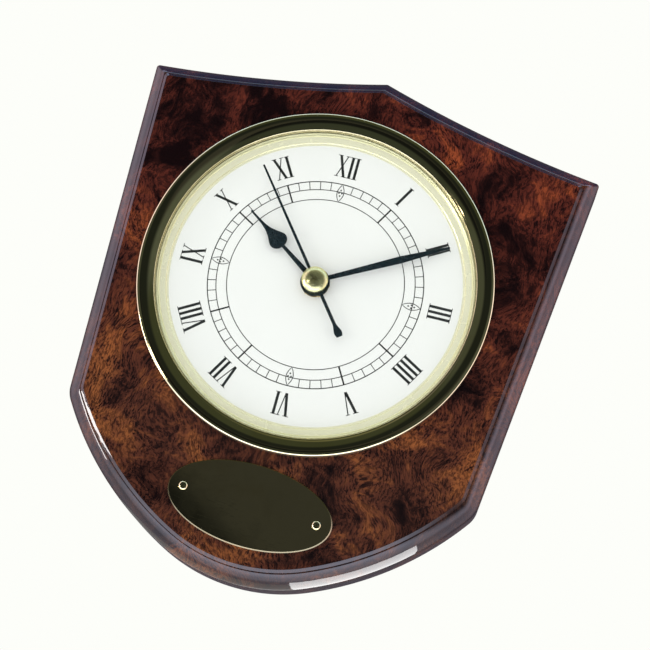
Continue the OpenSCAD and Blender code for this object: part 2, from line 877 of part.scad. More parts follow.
module back_cover() {
    color(black)
    on_dial()
        difference() {
            union() {
                intersection() {
                    sheet(case_back, case_wall)
                        round_box(case_w, case_corner);
                    translate([-case_w, bay_top, case_back - past])
                        cube([2 * case_w, case_w, case_wall + 2 * past]);
                }
                at(minute_pos)
                    bar(knob_well_r + knob_wall, case_back, well_floor + knob_wall);
            }
            at(minute_pos) {
                bar(knob_well_r, case_back - past, well_floor);
                bar(hub_r + run_gap, well_floor - past, well_floor + knob_wall + past);
            }
            for (p = bosses)
                at([p[0] * boss_x, p[1]]) {
                    bar(screw_hole_r, case_back - past, in_back + past);
                    bar(screw_head_r + fit_gap, case_back - past, case_back + screw_head_t);
                }
        }
}

module small_screw(head_front, length) {
    rotate([180, 0, 0])
        turned([[0, -head_front - length], [screw_r, -head_front - length], [screw_r, -head_front],
            [screw_head_r, -head_front], [screw_head_r, -head_front + screw_head_t],
            [0, -head_front + screw_head_t]]);
}

module case_screws() {
    color(steel)
    on_dial()
        for (p = bosses)
            at([p[0] * boss_x, p[1]])
                small_screw(case_back + screw_head_t, case_screw_len);
}

// Shape of the plates that carry the arbors, seen from the front
module plate_outline() {
    polygon([[-train_side, train_low], [train_side, train_low], [train_side, train_low + train_shoulder],
        [train_side - train_cut[0], train_top - train_cut[1]], [-train_split, train_top],
        [-train_side, train_top]]);
}

module train_plate() {
    color([0.80, 0.80, 0.76])
    on_dial()
        difference() {
            union() {
                sheet(plate_back, plate_thick)
                    plate_outline();
                for (p = pillars)
                    at(p)
                        bar(pillar_r, bridge_front, plate_back);
            }
            bar(cannon_out + run_gap, plate_back - past, plate_front + past);
            for (p = [third_pos, intermediate_pos, rotor_pos])
                at(p)
                    bar(arbor_r + run_gap, plate_back - past, plate_front + past);
            at(minute_pos)
                bar(arbor_r + 0.2 + run_gap, plate_back - past, plate_front + past);
            for (p = pillars)
                at(p)
                    bar(screw_hole_r, bridge_front - past, bridge_back + train_screw_len + 0.4);
        }
}

module train_bridge() {
    color([0.80, 0.80, 0.76])
    on_dial()
        difference() {
            sheet(bridge_back, bridge_t)
                plate_outline();
            at(minute_pos)
                bar(knob_well_r + knob_wall + 2 * fit_gap, bridge_back - past, bridge_front + past);
            bar(second_arbor_r + run_gap, bridge_back - past, bridge_front + past);
            for (p = [third_pos, intermediate_pos, rotor_pos])
                at(p)
                    bar(arbor_r + run_gap, bridge_back - past, bridge_front + past);
            for (p = pillars)
                at(p)
                    bar(screw_hole_r, bridge_back - past, bridge_front + past);
        }
}

module train_screws() {
    color(steel)
    on_dial()
        for (p = pillars)
            at(p)
                small_screw(bridge_back, train_screw_len);
}

module circuit_board() {
    color([0.10, 0.32, 0.16])
    on_dial()
        translate([circuit_left, circuit_low, circuit_front - circuit_t])
            cube([circuit_right - circuit_left, circuit_high - circuit_low, circuit_t]);
}

module quartz_crystal() {
    can_r = 1;
    can_len = 6;
    color(steel)
    on_dial()
        translate([circuit_left + quartz_in[0], circuit_high - quartz_in[1], circuit_front + can_r])
            rotate([0, 90, 0])
                bar(can_r, 0, can_len);
}

module timing_chip() {
    color(black)
    on_dial()
        translate([circuit_left + chip_in[0], circuit_low + chip_in[1], circuit_front])
            turned([[0, 0], [chip_r, 0], [chip_r - 0.3, 0.5], [chip_r - 1.2, 0.9], [0, 1]]);
}

module positive_contact() {
    edge = in_half - contact_t;
    color(steel)
    on_dial() {
        sheet(circuit_front - circuit_t, contact_w)
            polygon([[edge, -in_half + contact_low], [in_half, -in_half + contact_low], [in_half, in_half],
                [circuit_right - 2, in_half], [circuit_right - 2, edge], [edge, edge]]);
        translate([edge, battery_y - contact_pad, circuit_front - circuit_t + contact_w])
            cube([contact_t, 2 * contact_pad, contact_pad]);
    }
}

module negative_contact() {
    edge = in_half - contact_t;
    leaf_reach = battery_end - battery_len - contact_gap;
    color(steel)
    on_dial() {
        sheet(circuit_front - circuit_t, contact_w)
            polygon([[-in_half, -in_half + contact_low], [-edge, -in_half + contact_low],
                [-edge, battery_y - contact_spread], [leaf_reach, battery_y], [-edge, battery_y + contact_spread],
                [-edge, circuit_high - 2], [-in_half, circuit_high - 2]]);
    }
}

module battery() {
    nub_len = 1.2;
    nub_r = 2.7;
    color([0.20, 0.22, 0.24])
    on_dial()
        translate([battery_end - battery_len, battery_y, battery_h])
            rotate([0, 90, 0])
                turned([[0, 0], [battery_r - 0.6, 0], [battery_r, 0.6],
                    [battery_r, battery_len - nub_len - 0.6], [battery_r - 0.6, battery_len - nub_len],
                    [nub_r, battery_len - nub_len], [nub_r, battery_len], [0, battery_len]]);
}

module rotor_magnet() {
    color([0.25, 0.25, 0.27])
    on_dial()
        at(rotor_pos)
            tube(magnet_r, arbor_r, magnet_front - magnet_t, magnet_front);
}

module rotor_pinion() {
    color([0.86, 0.86, 0.82])
    on_dial()
        at(rotor_pos) {
            bar(arbor_r, bridge_back - 0.1, plate_front);
            toothed(rotor_teeth, rotor_module, 0, intermediate_h + pinion_over, pinion_t);
        }
}

module intermediate_wheel() {
    wheel_phase = mesh_phase(rotor_angle + 180, 0, rotor_teeth, intermediate_teeth);
    color([0.86, 0.86, 0.82])
    on_dial()
        at(intermediate_pos) {
            bar(arbor_r, bridge_back - 0.1, plate_front);
            toothed(intermediate_teeth, rotor_module, wheel_phase, intermediate_h, wheel_t);
            toothed(intermediate_pinion_teeth, second_module, 0, second_h + pinion_over,
                second_h + pinion_over - intermediate_h);
        }
}

module second_wheel() {
    wheel_phase = mesh_phase(intermediate_angle + 180, 0, intermediate_pinion_teeth, second_teeth);
    color([0.86, 0.86, 0.82])
    on_dial() {
        bar(second_arbor_r, bridge_back - 0.1, cap_h + arbor_in_cap);
        toothed(second_teeth, second_module, wheel_phase, second_h, wheel_t);
        toothed(second_pinion_teeth, third_module, 0, second_pinion_h, second_pinion_h - second_h);
    }
}

module third_wheel() {
    wheel_phase = mesh_phase(third_angle, 0, second_pinion_teeth, third_teeth);
    color([0.86, 0.86, 0.82])
    on_dial()
        at(third_pos) {
            bar(arbor_r, bridge_back - 0.1, plate_front);
            toothed(third_teeth, third_module, wheel_phase, third_h, wheel_t);
            toothed(third_pinion_teeth, centre_module, 0, centre_h + pinion_over,
                centre_h + pinion_over - third_h);
        }
}

module centre_wheel() {
    wheel_phase = mesh_phase(third_angle + 180, 0, third_pinion_teeth, centre_teeth);
    color([0.86, 0.86, 0.82])
    on_dial()
        difference() {
            toothed(centre_teeth, centre_module, wheel_phase, centre_h, wheel_t);
            bar(hour_in, centre_h - wheel_t - past, centre_h + past);
        }
}

module clutch_spring() {
    color(steel)
    on_dial()
        tube(3, cannon_out, centre_h + 0.02, plate_back - 0.05);
}

module cannon_pinion() {
    color(brass)
    on_dial()
        difference() {
            union() {
                bar(cannon_out, cannon_back, minute_hand_h + hand_t);
                toothed(cannon_teeth, minute_module, 0, cannon_h, cannon_t);
            }
            bar(cannon_in, cannon_back - past, minute_hand_h + hand_t + past);
        }
}

module minute_wheel() {
    wheel_phase = mesh_phase(minute_arbor_angle, 0, cannon_teeth, minute_teeth);
    color([0.86, 0.86, 0.82])
    on_dial()
        at(minute_pos) {
            bar(arbor_r + 0.2, knob_front, in_front - 0.1);
            toothed(minute_teeth, minute_module, wheel_phase, minute_h, minute_t);
            toothed(minute_pinion_teeth, hour_module, 0, hour_h + 0.1, hour_h + 0.1 - minute_h);
        }
}

module setting_knob() {
    grips = 20;
    color(black)
    on_dial()
        at(minute_pos)
            difference() {
                union() {
                    sheet(case_back + 0.2, knob_t)
                        polygon([for (i = [0:grips - 1], k = [0:3])
                            round_point([0, 0], (k < 2) ? knob_r : knob_r - 0.4, 360 / grips * (i + k / 4))]);
                    bar(hub_r, knob_front, well_floor + knob_wall + 0.3);
                }
                bar(arbor_r + 0.2, knob_front, well_floor + 3);
            }
}

module hour_wheel() {
    wheel_phase = mesh_phase(minute_arbor_angle + 180, 0, minute_pinion_teeth, hour_teeth);
    color([0.86, 0.86, 0.82])
    on_dial()
        difference() {
            union() {
                bar(hour_out, hour_h - hour_t, hour_hand_h + hand_t);
                toothed(hour_teeth, hour_module, wheel_phase, hour_h, hour_t);
            }
            bar(hour_in, hour_h - hour_t - past, hour_hand_h + hand_t + past);
        }
}

module hour_hand() {
    lobe_r = spade_half * 0.54;
    lobe_y = spade_r + lobe_r;
    blade_steps = 10;
    color(hand_green)
    on_dial()
        hand_at(hour_angle, hour_hand_h)
            difference() {
                union() {
                    circle(r = hour_boss_r);
                    polygon(both_sides([[0, stem_half], [lobe_y, stem_half]]));
                    for (x = [-1, 1])
                        translate([x * (spade_half - lobe_r), lobe_y])
                            circle(r = lobe_r);
                    // The blade narrows on a curve from the lobes to a slim tip
                    polygon(both_sides(concat(
                        [for (i = [0:blade_steps])
                            let (u = i / blade_steps)
                            [lobe_y + u * (spade_len - lobe_r),
                             stem_half + (spade_half - stem_half) * pow(1 - u, 1.45)]],
                        [[hour_len, tip_half]]
                    )));
                }
                circle(r = hour_out);
            }
}

module minute_hand() {
    color(hand_green)
    on_dial()
        hand_at(minute_angle, minute_hand_h)
            difference() {
                union() {
                    circle(r = minute_boss_r);
                    polygon(both_sides([[0, stem_half], [minute_boss_r, stem_half],
                        [minute_wide_r, minute_half], [minute_len, tip_half]]));
                }
                circle(r = cannon_out);
            }
}

module second_hand() {
    shoulder = 2;
    color(hand_green)
    on_dial()
        hand_at(second_angle, second_hand_h)
            difference() {
                union() {
                    circle(r = 2.2);
                    polygon(both_sides([[-tail_len, paddle_half * 0.75], [-tail_len + shoulder, paddle_half],
                        [-tail_len + 2.5 * shoulder, 0.45], [0, 0.45], [second_len, 0.25]]));
                }
                circle(r = second_arbor_r);
            }
}

module centre_cap() {
    dome_round = (cap_r * cap_r + cap_dome * cap_dome) / (2 * cap_dome);
    steps = 10;
    color(brass)
    on_dial()
        difference() {
            turned(concat(
                [[0, cap_h], [cap_r, cap_h]],
                [for (i = [0:steps])
                    let (r = cap_r * cos(90 * i / steps))
                    [r, cap_h + cap_side + cap_dome - dome_round + sqrt(dome_round * dome_round - r * r)]]
            ));
            bar(second_arbor_r, cap_h - past, cap_h + arbor_in_cap);
        }
}

shield_board();
name_plate();
plate_pins();
hanger_plate();
hanger_screws();
bezel();
glass();
glass_gasket();
rehaut_ring();
dial();
insert_cup();
retaining_ring();
grip_ring();
rubber_washer();
bush_washer();
bush_nut();
threaded_bush();
front_case();
back_cover();
case_screws();
train_plate();
train_bridge();
train_screws();
circuit_board();
quartz_crystal();
timing_chip();
coil_bobbin();
coil_winding();
stator();
positive_contact();
negative_contact();
battery();
rotor_magnet();
rotor_pinion();
intermediate_wheel();
second_wheel();
third_wheel();
centre_wheel();
clutch_spring();
cannon_pinion();
minute_wheel();
setting_knob();
hour_wheel();
hour_hand();
minute_hand();
second_hand();
centre_cap();
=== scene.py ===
"""Fine surfaces and finishes for the shield clock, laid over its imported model.

Lengths are in millimetres until a mesh is made. Points are worked out in one of two places: on the
dial (x right, y up, h out of the dial) or on the board (x, y from the dial's centre, z forward from
the back plane).
"""

import json
import logging
import math
from dataclasses import dataclass
from enum import Enum

import bmesh
import bpy
import numpy as np
from mathutils import Matrix, Vector

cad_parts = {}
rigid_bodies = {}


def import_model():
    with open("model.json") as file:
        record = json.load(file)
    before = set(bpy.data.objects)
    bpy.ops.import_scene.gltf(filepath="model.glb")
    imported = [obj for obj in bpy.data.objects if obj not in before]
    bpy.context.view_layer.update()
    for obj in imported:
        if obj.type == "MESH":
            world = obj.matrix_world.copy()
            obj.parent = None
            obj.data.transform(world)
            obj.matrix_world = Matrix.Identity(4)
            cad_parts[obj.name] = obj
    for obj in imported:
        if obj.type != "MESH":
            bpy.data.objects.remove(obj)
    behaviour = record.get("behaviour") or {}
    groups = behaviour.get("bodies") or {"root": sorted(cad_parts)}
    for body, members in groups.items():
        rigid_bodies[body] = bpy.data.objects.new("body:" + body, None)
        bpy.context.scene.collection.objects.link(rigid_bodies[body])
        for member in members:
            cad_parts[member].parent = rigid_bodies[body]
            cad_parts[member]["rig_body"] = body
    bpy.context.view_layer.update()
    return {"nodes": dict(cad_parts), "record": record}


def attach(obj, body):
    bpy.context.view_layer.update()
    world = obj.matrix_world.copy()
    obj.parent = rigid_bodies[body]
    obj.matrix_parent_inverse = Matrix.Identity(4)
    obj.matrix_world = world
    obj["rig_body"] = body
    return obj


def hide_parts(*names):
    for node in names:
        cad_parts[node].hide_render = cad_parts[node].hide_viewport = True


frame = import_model()
LOG = logging.getLogger("shield_clock")

Point = tuple[float, float]
Profile = list[Point]
Colour = tuple[float, float, float]
Part = tuple[np.ndarray, list]

MM = 0.001
FLOAT, VECTOR, RGB = "NodeSocketFloat", "NodeSocketVector", "NodeSocketColor"


def spun(points: np.ndarray, degrees: float) -> np.ndarray:
    """Turns points anticlockwise about the dial's axis.

    Args:
        points: array of (x, y, h).
        degrees: angle of the turn.

    Returns:
        Array of the same shape.
    """
    a = math.radians(degrees)
    x, y = points[..., 0], points[..., 1]
    return np.stack([x * math.cos(a) - y * math.sin(a), x * math.sin(a) + y * math.cos(a), points[..., 2]], -1)


@dataclass(frozen=True)
class Layout:
    """Where the dial and the board stand in the row frame."""

    insert_left: float = 2.5
    insert_turn: float = 2.3
    hanger_up: float = 67.5
    board_t: float = 20.0
    face_h: float = 3.5

    def on_board(self, points: np.ndarray) -> np.ndarray:
        """Turns board points into the row frame: y becomes up and z becomes forward (-Y).

        Args:
            points: array of (x, y, z), y measured up from the dial's centre.

        Returns:
            Array of the same shape, still in millimetres.
        """
        x, y, z = points[..., 0], points[..., 1], points[..., 2]
        return np.stack([x, -z, y - self.hanger_up], -1)

    def on_dial(self, points: np.ndarray) -> np.ndarray:
        """Turns dial points by the insert's turn and shifts them to the insert's place."""
        return self.on_board(spun(points, self.insert_turn) + [-self.insert_left, 0, self.board_t - self.face_h])


LAYOUT = Layout()


def grid_faces(rows: int, cols: int, wrap_rows: bool, wrap_cols: bool) -> np.ndarray:
    """Quads between neighbouring points of a grid, numbered row by row.

    Args:
        rows: number of rows.
        cols: number of points in a row.
        wrap_rows: whether the last row joins the first.
        wrap_cols: whether the last point of a row joins its first.

    Returns:
        Array of quads, four point numbers each.
    """
    r, c = np.meshgrid(np.arange(rows - (not wrap_rows)), np.arange(cols - (not wrap_cols)), indexing="ij")
    r2, c2 = (r + 1) % rows, (c + 1) % cols
    return np.stack([r * cols + c, r2 * cols + c, r2 * cols + c2, r * cols + c2], -1).reshape(-1, 4)


def tube_faces(rows: int, cols: int) -> list:
    """Quads of a tube whose rows are closed loops, and one face over each of its two ends."""
    ends = [list(range(cols)), list(range((rows - 1) * cols, rows * cols))]
    return grid_faces(rows, cols, False, True).tolist() + ends


def joined(parts: list[Part]) -> Part:
    """Puts parts together as one.

    Args:
        parts: points and faces of each part.

    Returns:
        All the points, and all the faces with their numbers moved on.
    """
    faces, start = [], 0
    for points, own in parts:
        faces += [[i + start for i in face] for face in own]
        start += len(points)
    return np.concatenate([points for points, _ in parts]), faces


def prisms(corners: np.ndarray, high: float) -> Part:
    """Thin blocks from flat four-sided marks: each corner is doubled at height 0 and at the top.

    Args:
        corners: array of (marks, 4, 2) in dial coordinates.
        high: height of the faces.

    Returns:
        Dial points and faces.
    """
    n = len(corners)
    layers = [np.concatenate([corners, np.full((n, 4, 1), h)], -1) for h in (0.0, high)]
    sides = np.array([[0, 3, 2, 1], [4, 5, 6, 7], [0, 1, 5, 4], [1, 2, 6, 5], [2, 3, 7, 6], [3, 0, 4, 7]])
    faces = (sides[None] + 8 * np.arange(n)[:, None, None]).reshape(-1, 4)
    return np.concatenate(layers, 1).reshape(-1, 3), faces.tolist()


def clean_mesh(name: str, points: np.ndarray, faces: list, crease: float = 28.0) -> bpy.types.Mesh:
    """Makes a closed mesh: doubles merged, faces turned outwards, shaded smooth between creases.

    Args:
        name: name of the mesh.
        points: array of points in the row frame, in millimetres.
        faces: lists of point numbers.
        crease: angle in degrees above which an edge stays sharp.

    Returns:
        The mesh, in metres.
    """
    mesh = bpy.data.meshes.new(name)
    mesh.from_pydata((points.reshape(-1, 3) * MM).tolist(), [], faces)
    bm = bmesh.new()
    bm.from_mesh(mesh)
    bmesh.ops.remove_doubles(bm, verts=bm.verts, dist=1e-7)
    bmesh.ops.dissolve_degenerate(bm, edges=bm.edges, dist=1e-8)
    bmesh.ops.recalc_face_normals(bm, faces=bm.faces)
    bm.to_mesh(mesh)
    bm.free()
    mesh.shade_smooth()
    mesh.set_sharp_from_angle(angle=math.radians(crease))
    return mesh


def face_vectors(mesh: bpy.types.Mesh, kind: str) -> np.ndarray:
    """Reads the "center" or the "normal" of every face.

    Args:
        mesh: the mesh.
        kind: which of the two.

    Returns:
        Array of (faces, 3).
    """
    values = np.empty(len(mesh.polygons) * 3, np.float32)
    mesh.polygons.foreach_get(kind, values)
    return values.reshape(-1, 3)


def paint_faces(mesh: bpy.types.Mesh, materials: list[bpy.types.Material], chosen: np.ndarray) -> None:
    """Gives a mesh its materials, and each face the number of its own.

    Args:
        mesh: the mesh.
        materials: its materials in order.
        chosen: the material's number for each face.
    """
    for material in materials:
        mesh.materials.append(material)
    mesh.polygons.foreach_set("material_index", chosen.astype(np.int32))


def put_in_scene(name: str, data: bpy.types.ID) -> bpy.types.Object:
    """Links a new object to the scene.

    Args:
        name: name of the object.
        data: the mesh, lamp or camera that it holds.

    Returns:
        The object.
    """
    obj = bpy.data.objects.new(name, data)
    bpy.context.scene.collection.objects.link(obj)
    return obj


def add_piece(
    name: str,
    mesh: bpy.types.Mesh,
    body: str,
    material: bpy.types.Material,
    replaces: tuple[str, ...] = (),
) -> None:
    """Puts a mesh in the scene as a piece that rides on a body.

    Args:
        name: name of the piece.
        mesh: its mesh, in place in the row frame.
        body: the body that it rides on.
        material: its material, for a mesh that has none yet.
        replaces: the nodes that it stands for.
    """
    obj = put_in_scene(name, mesh)
    if not mesh.materials:
        mesh.materials.append(material)
    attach(obj, body)
    if replaces:
        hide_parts(*replaces)
    LOG.info("piece %s: %d faces on %s", name, len(mesh.polygons), body)


def round_angles(steps: int) -> np.ndarray:
    """Even angles all the way round, as a column."""
    return np.linspace(0, 2 * math.pi, steps, endpoint=False)[:, None]


def turned_points(profile: Profile, steps: int) -> np.ndarray:
    """Carries a half section round the dial's axis: x = r sin a, y = r cos a, h as in the section.

    Args:
        profile: points of (radius, height).
        steps: number of places round the axis.

    Returns:
        Grid of (steps, points of the section, 3) in dial coordinates.
    """
    r, h = np.array(profile, float).T[:, None, :]
    a = round_angles(steps)
    return np.stack([r * np.sin(a), r * np.cos(a), h + 0 * a], -1)


def turned_mesh(
    name: str, profile: Profile, steps: int = 256, closed: bool = True, crease: float = 28.0
) -> bpy.types.Mesh:
    """Turned solid on the dial's axis.

    Args:
        name: name of the mesh.
        profile: points of (radius, height). It is a closed loop, or runs from the axis to the axis.
        steps: number of places round the axis.
        closed: whether the last point joins the first.
        crease: angle in degrees above which an edge stays sharp.

    Returns:
        The mesh.
    """
    faces = grid_faces(steps, len(profile), True, closed)
    return clean_mesh(name, LAYOUT.on_dial(turned_points(profile, steps)), faces.tolist(), crease)


def rounded(corner: Point, before: Point, after: Point, reach: float, steps: int = 5) -> Profile:
    """Rounds a corner of a section with a short curve: a quadratic bend from one side to the other.

    Args:
        corner: the corner.
        before: a point on the side before it.
        after: a point on the side after it.
        reach: how far back along each side the curve starts.
        steps: number of parts of the curve.

    Returns:
        Points of the curve.
    """
    c, b, a = (np.array(p, float) for p in (corner, before, after))
    start, end = (c + reach * (side - c) / np.linalg.norm(side - c) for side in (b, a))
    u = np.linspace(0, 1, steps + 1)[:, None]
    return [tuple(p) for p in (1 - u) ** 2 * start + 2 * u * (1 - u) * c + u**2 * end]


def softened(profile: Profile, reach: list[float], steps: int) -> Profile:
    """Rounds the corners of an open section.

    Args:
        profile: corners of the section.
        reach: reach of the round at each corner, 0 where it stays as it is.
        steps: number of parts of each curve.

    Returns:
        The rounded section.
    """
    out: Profile = []
    for i, (corner, r) in enumerate(zip(profile, reach)):
        out += rounded(corner, profile[i - 1], profile[i + 1], r, steps) if r else [corner]
    return out


class Tree:
    """Short ways to add and join nodes in one node tree."""

    def __init__(self, tree: bpy.types.NodeTree) -> None:
        """Keeps the tree and empties it."""
        self.tree = tree
        tree.nodes.clear()

    def feed(self, socket: bpy.types.NodeSocket, value: object) -> None:
        """Links a socket's output to an input, or sets the input's value.

        Args:
            socket: the input.
            value: an output socket, or the value to set.
        """
        if isinstance(value, bpy.types.NodeSocket):
            self.tree.links.new(value, socket)
        elif isinstance(value, tuple) and len(value) == 3 and socket.type == "RGBA":
            socket.default_value = (*value, 1.0)
        else:
            socket.default_value = value

    def put(self, node: bpy.types.Node, **values: object) -> None:
        """Feeds inputs of a node by their names, with underscores for spaces."""
        for key, value in values.items():
            self.feed(node.inputs[key.replace("_", " ")], value)

    def node(self, kind: str, props: dict | None = None, **values: object) -> bpy.types.Node:
        """Adds a node.

        Args:
            kind: the node's type, without its ShaderNode prefix unless it has another.
            props: properties to set on the node.
            values: input values or sockets, as for put.

        Returns:
            The node.
        """
        node = self.tree.nodes.new(kind if kind.startswith("Node") else "ShaderNode" + kind)
        for key, value in (props or {}).items():
            setattr(node, key, value)
        self.put(node, **values)
        return node

    def numbered(self, kind: str, props: dict, places: dict[int, object], out: int = 0) -> bpy.types.NodeSocket:
        """Adds a node whose inputs go by number.

        Args:
            kind: the node's type.
            props: properties to set on the node.
            places: input values or sockets by number.
            out: number of the output that is wanted.

        Returns:
            The output's socket.
        """
        node = self.node(kind, props)
        for index, value in places.items():
            self.feed(node.inputs[index], value)
        return node.outputs[out]

    def mix(self, factor: object, a: object, b: object, blend: str = "MIX") -> bpy.types.NodeSocket:
        """Mixes two colours by a factor."""
        return self.numbered("Mix", {"data_type": "RGBA", "blend_type": blend}, {0: factor, 6: a, 7: b}, 2)

    def maths(self, operation: str, *values: object) -> bpy.types.NodeSocket:
        """Works out one sum of two or three values."""
        return self.numbered("Math", {"operation": operation}, dict(enumerate(values)))

    def ramp(
        self, value: object, low: float, high: float, to_low: float = 0.0, to_high: float = 1.0
    ) -> bpy.types.NodeSocket:
        """Maps a range of values onto another with soft ends."""
        places = dict(enumerate((value, low, high, to_low, to_high)))
        return self.numbered("MapRange", {"interpolation_type": "SMOOTHSTEP"}, places)

    def noise(
        self, vector: object, scale: object, detail: float, rough: float = 0.5, bend: float = 0.0, out: str = "Fac"
    ) -> bpy.types.NodeSocket:
        """Adds a noise texture, and returns its "Fac" or its "Color"."""
        values = {"Vector": vector, "Scale": scale, "Detail": detail, "Roughness": rough, "Distortion": bend}
        return self.node("TexNoise", None, **values).outputs[out]

    def bump(self, height: object, strength: float, distance: float = 0.0002) -> bpy.types.NodeSocket:
        """Bump from a height, its distance in metres."""
        return self.node("Bump", None, Strength=strength, Distance=distance, Height=height).outputs[0]

    def group(self, name: str, **values: object) -> bpy.types.Node:
        """Places a shared group and feeds its inputs."""
        return self.node("Group", {"node_tree": bpy.data.node_groups[name]}, **values)

    def where(self) -> bpy.types.NodeSocket:
        """The piece's own coordinates, in metres."""
        return self.node("TexCoord").outputs["Object"]


def new_group(
    name: str, inputs: dict[str, str], outputs: dict[str, str]
) -> tuple[Tree, bpy.types.bpy_prop_collection, bpy.types.Node]:
    """Starts a shader node group with named sockets.

    Args:
        name: name of the group.
        inputs: socket type by input name.
        outputs: socket type by output name.

    Returns:
        The tree, the sockets of what it is given, and its output node.
    """
    group = bpy.data.node_groups.new(name, "ShaderNodeTree")
    for way, sockets in (("INPUT", inputs), ("OUTPUT", outputs)):
        for key, kind in sockets.items():
            group.interface.new_socket(name=key, in_out=way, socket_type=kind)
    tree = Tree(group)
    return tree, tree.node("NodeGroupInput").outputs, tree.node("NodeGroupOutput")


def make_grain_group() -> None:
    """Fine pitting for moulded, cast and sprayed surfaces: two noises, one small and one broad."""
    tree, given, made = new_group(
        "surface_grain", {"Vector": VECTOR, "Scale": FLOAT}, {"Mask": FLOAT, "Height": FLOAT}
    )
    fine = tree.noise(given["Vector"], given["Scale"], 3.0)
    broad = tree.noise(given["Vector"], 55.0, 3.0, 0.6)
    both = tree.maths("MULTIPLY_ADD", fine, 0.45, tree.maths("MULTIPLY", broad, 0.55))
    tree.put(made, Mask=tree.ramp(both, 0.36, 0.64), Height=fine)


def make_wear_group() -> None:
    """Handling marks on bright metal and lacquer: soft smears and thin, long hairlines."""
    tree, given, made = new_group(
        "handling_wear",
        {"Vector": VECTOR, "Roughness": FLOAT, "Amount": FLOAT},
        {"Roughness": FLOAT, "Height": FLOAT},
    )
    where, slant, stretch = given["Vector"], (0.3, 0.5, 0.2), (260.0, 3200.0, 3200.0)
    drawn_out = tree.node("Mapping", None, Vector=where, Rotation=slant, Scale=stretch).outputs[0]
    lines = tree.ramp(tree.noise(drawn_out, 1.0, 2.0), 0.62, 0.72)
    smear = tree.ramp(tree.noise(where, 90.0, 4.0, 0.6, 0.8), 0.4, 0.7)
    both = tree.maths("MAXIMUM", smear, lines)
    rough = tree.maths("MULTIPLY_ADD", both, given["Amount"], given["Roughness"])
    tree.put(made, Roughness=rough, Height=lines)


def make_burl_group() -> None:
    """Burl figure: warped patches of light and dark, curled stripes and short dark pores.

    It is redder towards the top of the board, and painted shade makes it darker there.
    """
    tree, given, made = new_group(
        "burl_figure_top_shade", {"Vector": VECTOR, "Dark": RGB, "Middle": RGB, "Light": RGB}, {"Colour": RGB, "Pores": FLOAT}
    )
    where, warp_reach = given["Vector"], 0.034
    swirl = tree.noise(where, 26.0, 2.0, out="Color")
    warp = tree.numbered("VectorMath", {"operation": "SCALE"}, {0: swirl, 3: warp_reach})
    place = tree.numbered("VectorMath", {"operation": "ADD"}, {0: where, 1: warp})
    patches = tree.noise(place, 34.0, 3.0, 0.55, 0.3)
    cloud = tree.noise(place, 130.0, 5.0, 0.68, 0.9)
    curl = tree.node("Mapping", None, Vector=place, Rotation=(0.0, 0.45, 0.0), Scale=(1400.0, 700.0, 520.0))
    flecks = tree.noise(curl.outputs[0], 1.0, 3.0, 0.7, 0.4)
    light = tree.maths("MULTIPLY_ADD", patches, 0.62, tree.maths("MULTIPLY", cloud, 0.38))
    height = tree.node("SeparateXYZ", None, Vector=where).outputs["Z"]
    # painted shade: the wood's lightness falls away towards the top of the board
    light = tree.maths("SUBTRACT", light, tree.ramp(height, -0.12, 0.0, 0.0, 0.056))
    base = tree.mix(tree.ramp(light, 0.36, 0.52), given["Dark"], given["Middle"])
    base = tree.mix(tree.ramp(light, 0.48, 0.64), base, given["Light"])
    pores = tree.ramp(flecks, 0.57, 0.43)
    shade = tree.maths("MULTIPLY", pores, tree.ramp(cloud, 0.35, 0.6, 0.95, 0.6))
    hue = tree.mix(tree.ramp(height, -0.14, -0.02), (1.06, 1.22, 1.25), (1.25, 0.92, 1.02))
    tree.put(made, Colour=tree.mix(1.0, tree.mix(shade, base, given["Dark"]), hue, "MULTIPLY"), Pores=pores)


def start_material(name: str, **values: object) -> tuple[bpy.types.Material, Tree, bpy.types.Node]:
    """Starts a node material with a Principled shader joined to its output.

    Args:
        name: name of the material.
        values: plain values of the shader, as for Tree.put.

    Returns:
        The material, its tree and the shader node.
    """
    material = bpy.data.materials.new(name)
    material.use_nodes = True
    tree = Tree(material.node_tree)
    shader = tree.node("BsdfPrincipled", None, **values)
    tree.node("OutputMaterial", None, Surface=shader.outputs[0])
    return material, tree, shader


class Texture(Enum):
    """How a plain finish is broken up, by the name of its group."""

    GRAIN = "surface_grain"
    WEAR = "handling_wear"


@dataclass(frozen=True)
class Finish:
    """A finish of one main colour, with a second one where it is worn or dusty."""

    slot: str
    colour: Colour
    worn: Colour
    rough: float
    metal: float = 0.0
    texture: Texture = Texture.GRAIN
    scale: float = 900.0
    amount: float = 0.08
    bump: float = 0.05
    coat: float = 0.0

    def make(self) -> bpy.types.Material:
        """Builds the material: the mask mixes the two colours, and the group's height is the bump.

        Returns:
            The material, named after its slot.
        """
        plain = {"Metallic": self.metal, "Coat_Weight": self.coat, "Coat_Roughness": 0.05}
        material, tree, shader = start_material(self.slot, **plain)
        where = tree.where()
        if self.texture is Texture.GRAIN:
            group = tree.group(self.texture.value, Vector=where, Scale=self.scale)
            mask = group.outputs["Mask"]
            rough = tree.ramp(mask, 0.0, 1.0, self.rough - self.amount, self.rough + self.amount)
        else:
            group = tree.group(self.texture.value, Vector=where, Roughness=self.rough, Amount=self.amount)
            mask = tree.ramp(tree.noise(where, 70.0, 3.0, 0.6), 0.45, 0.75)
            rough = group.outputs["Roughness"]
        colour = tree.mix(mask, self.colour, self.worn)
        tree.put(shader, Roughness=rough, Base_Color=colour, Normal=tree.bump(group.outputs["Height"], self.bump))
        return material


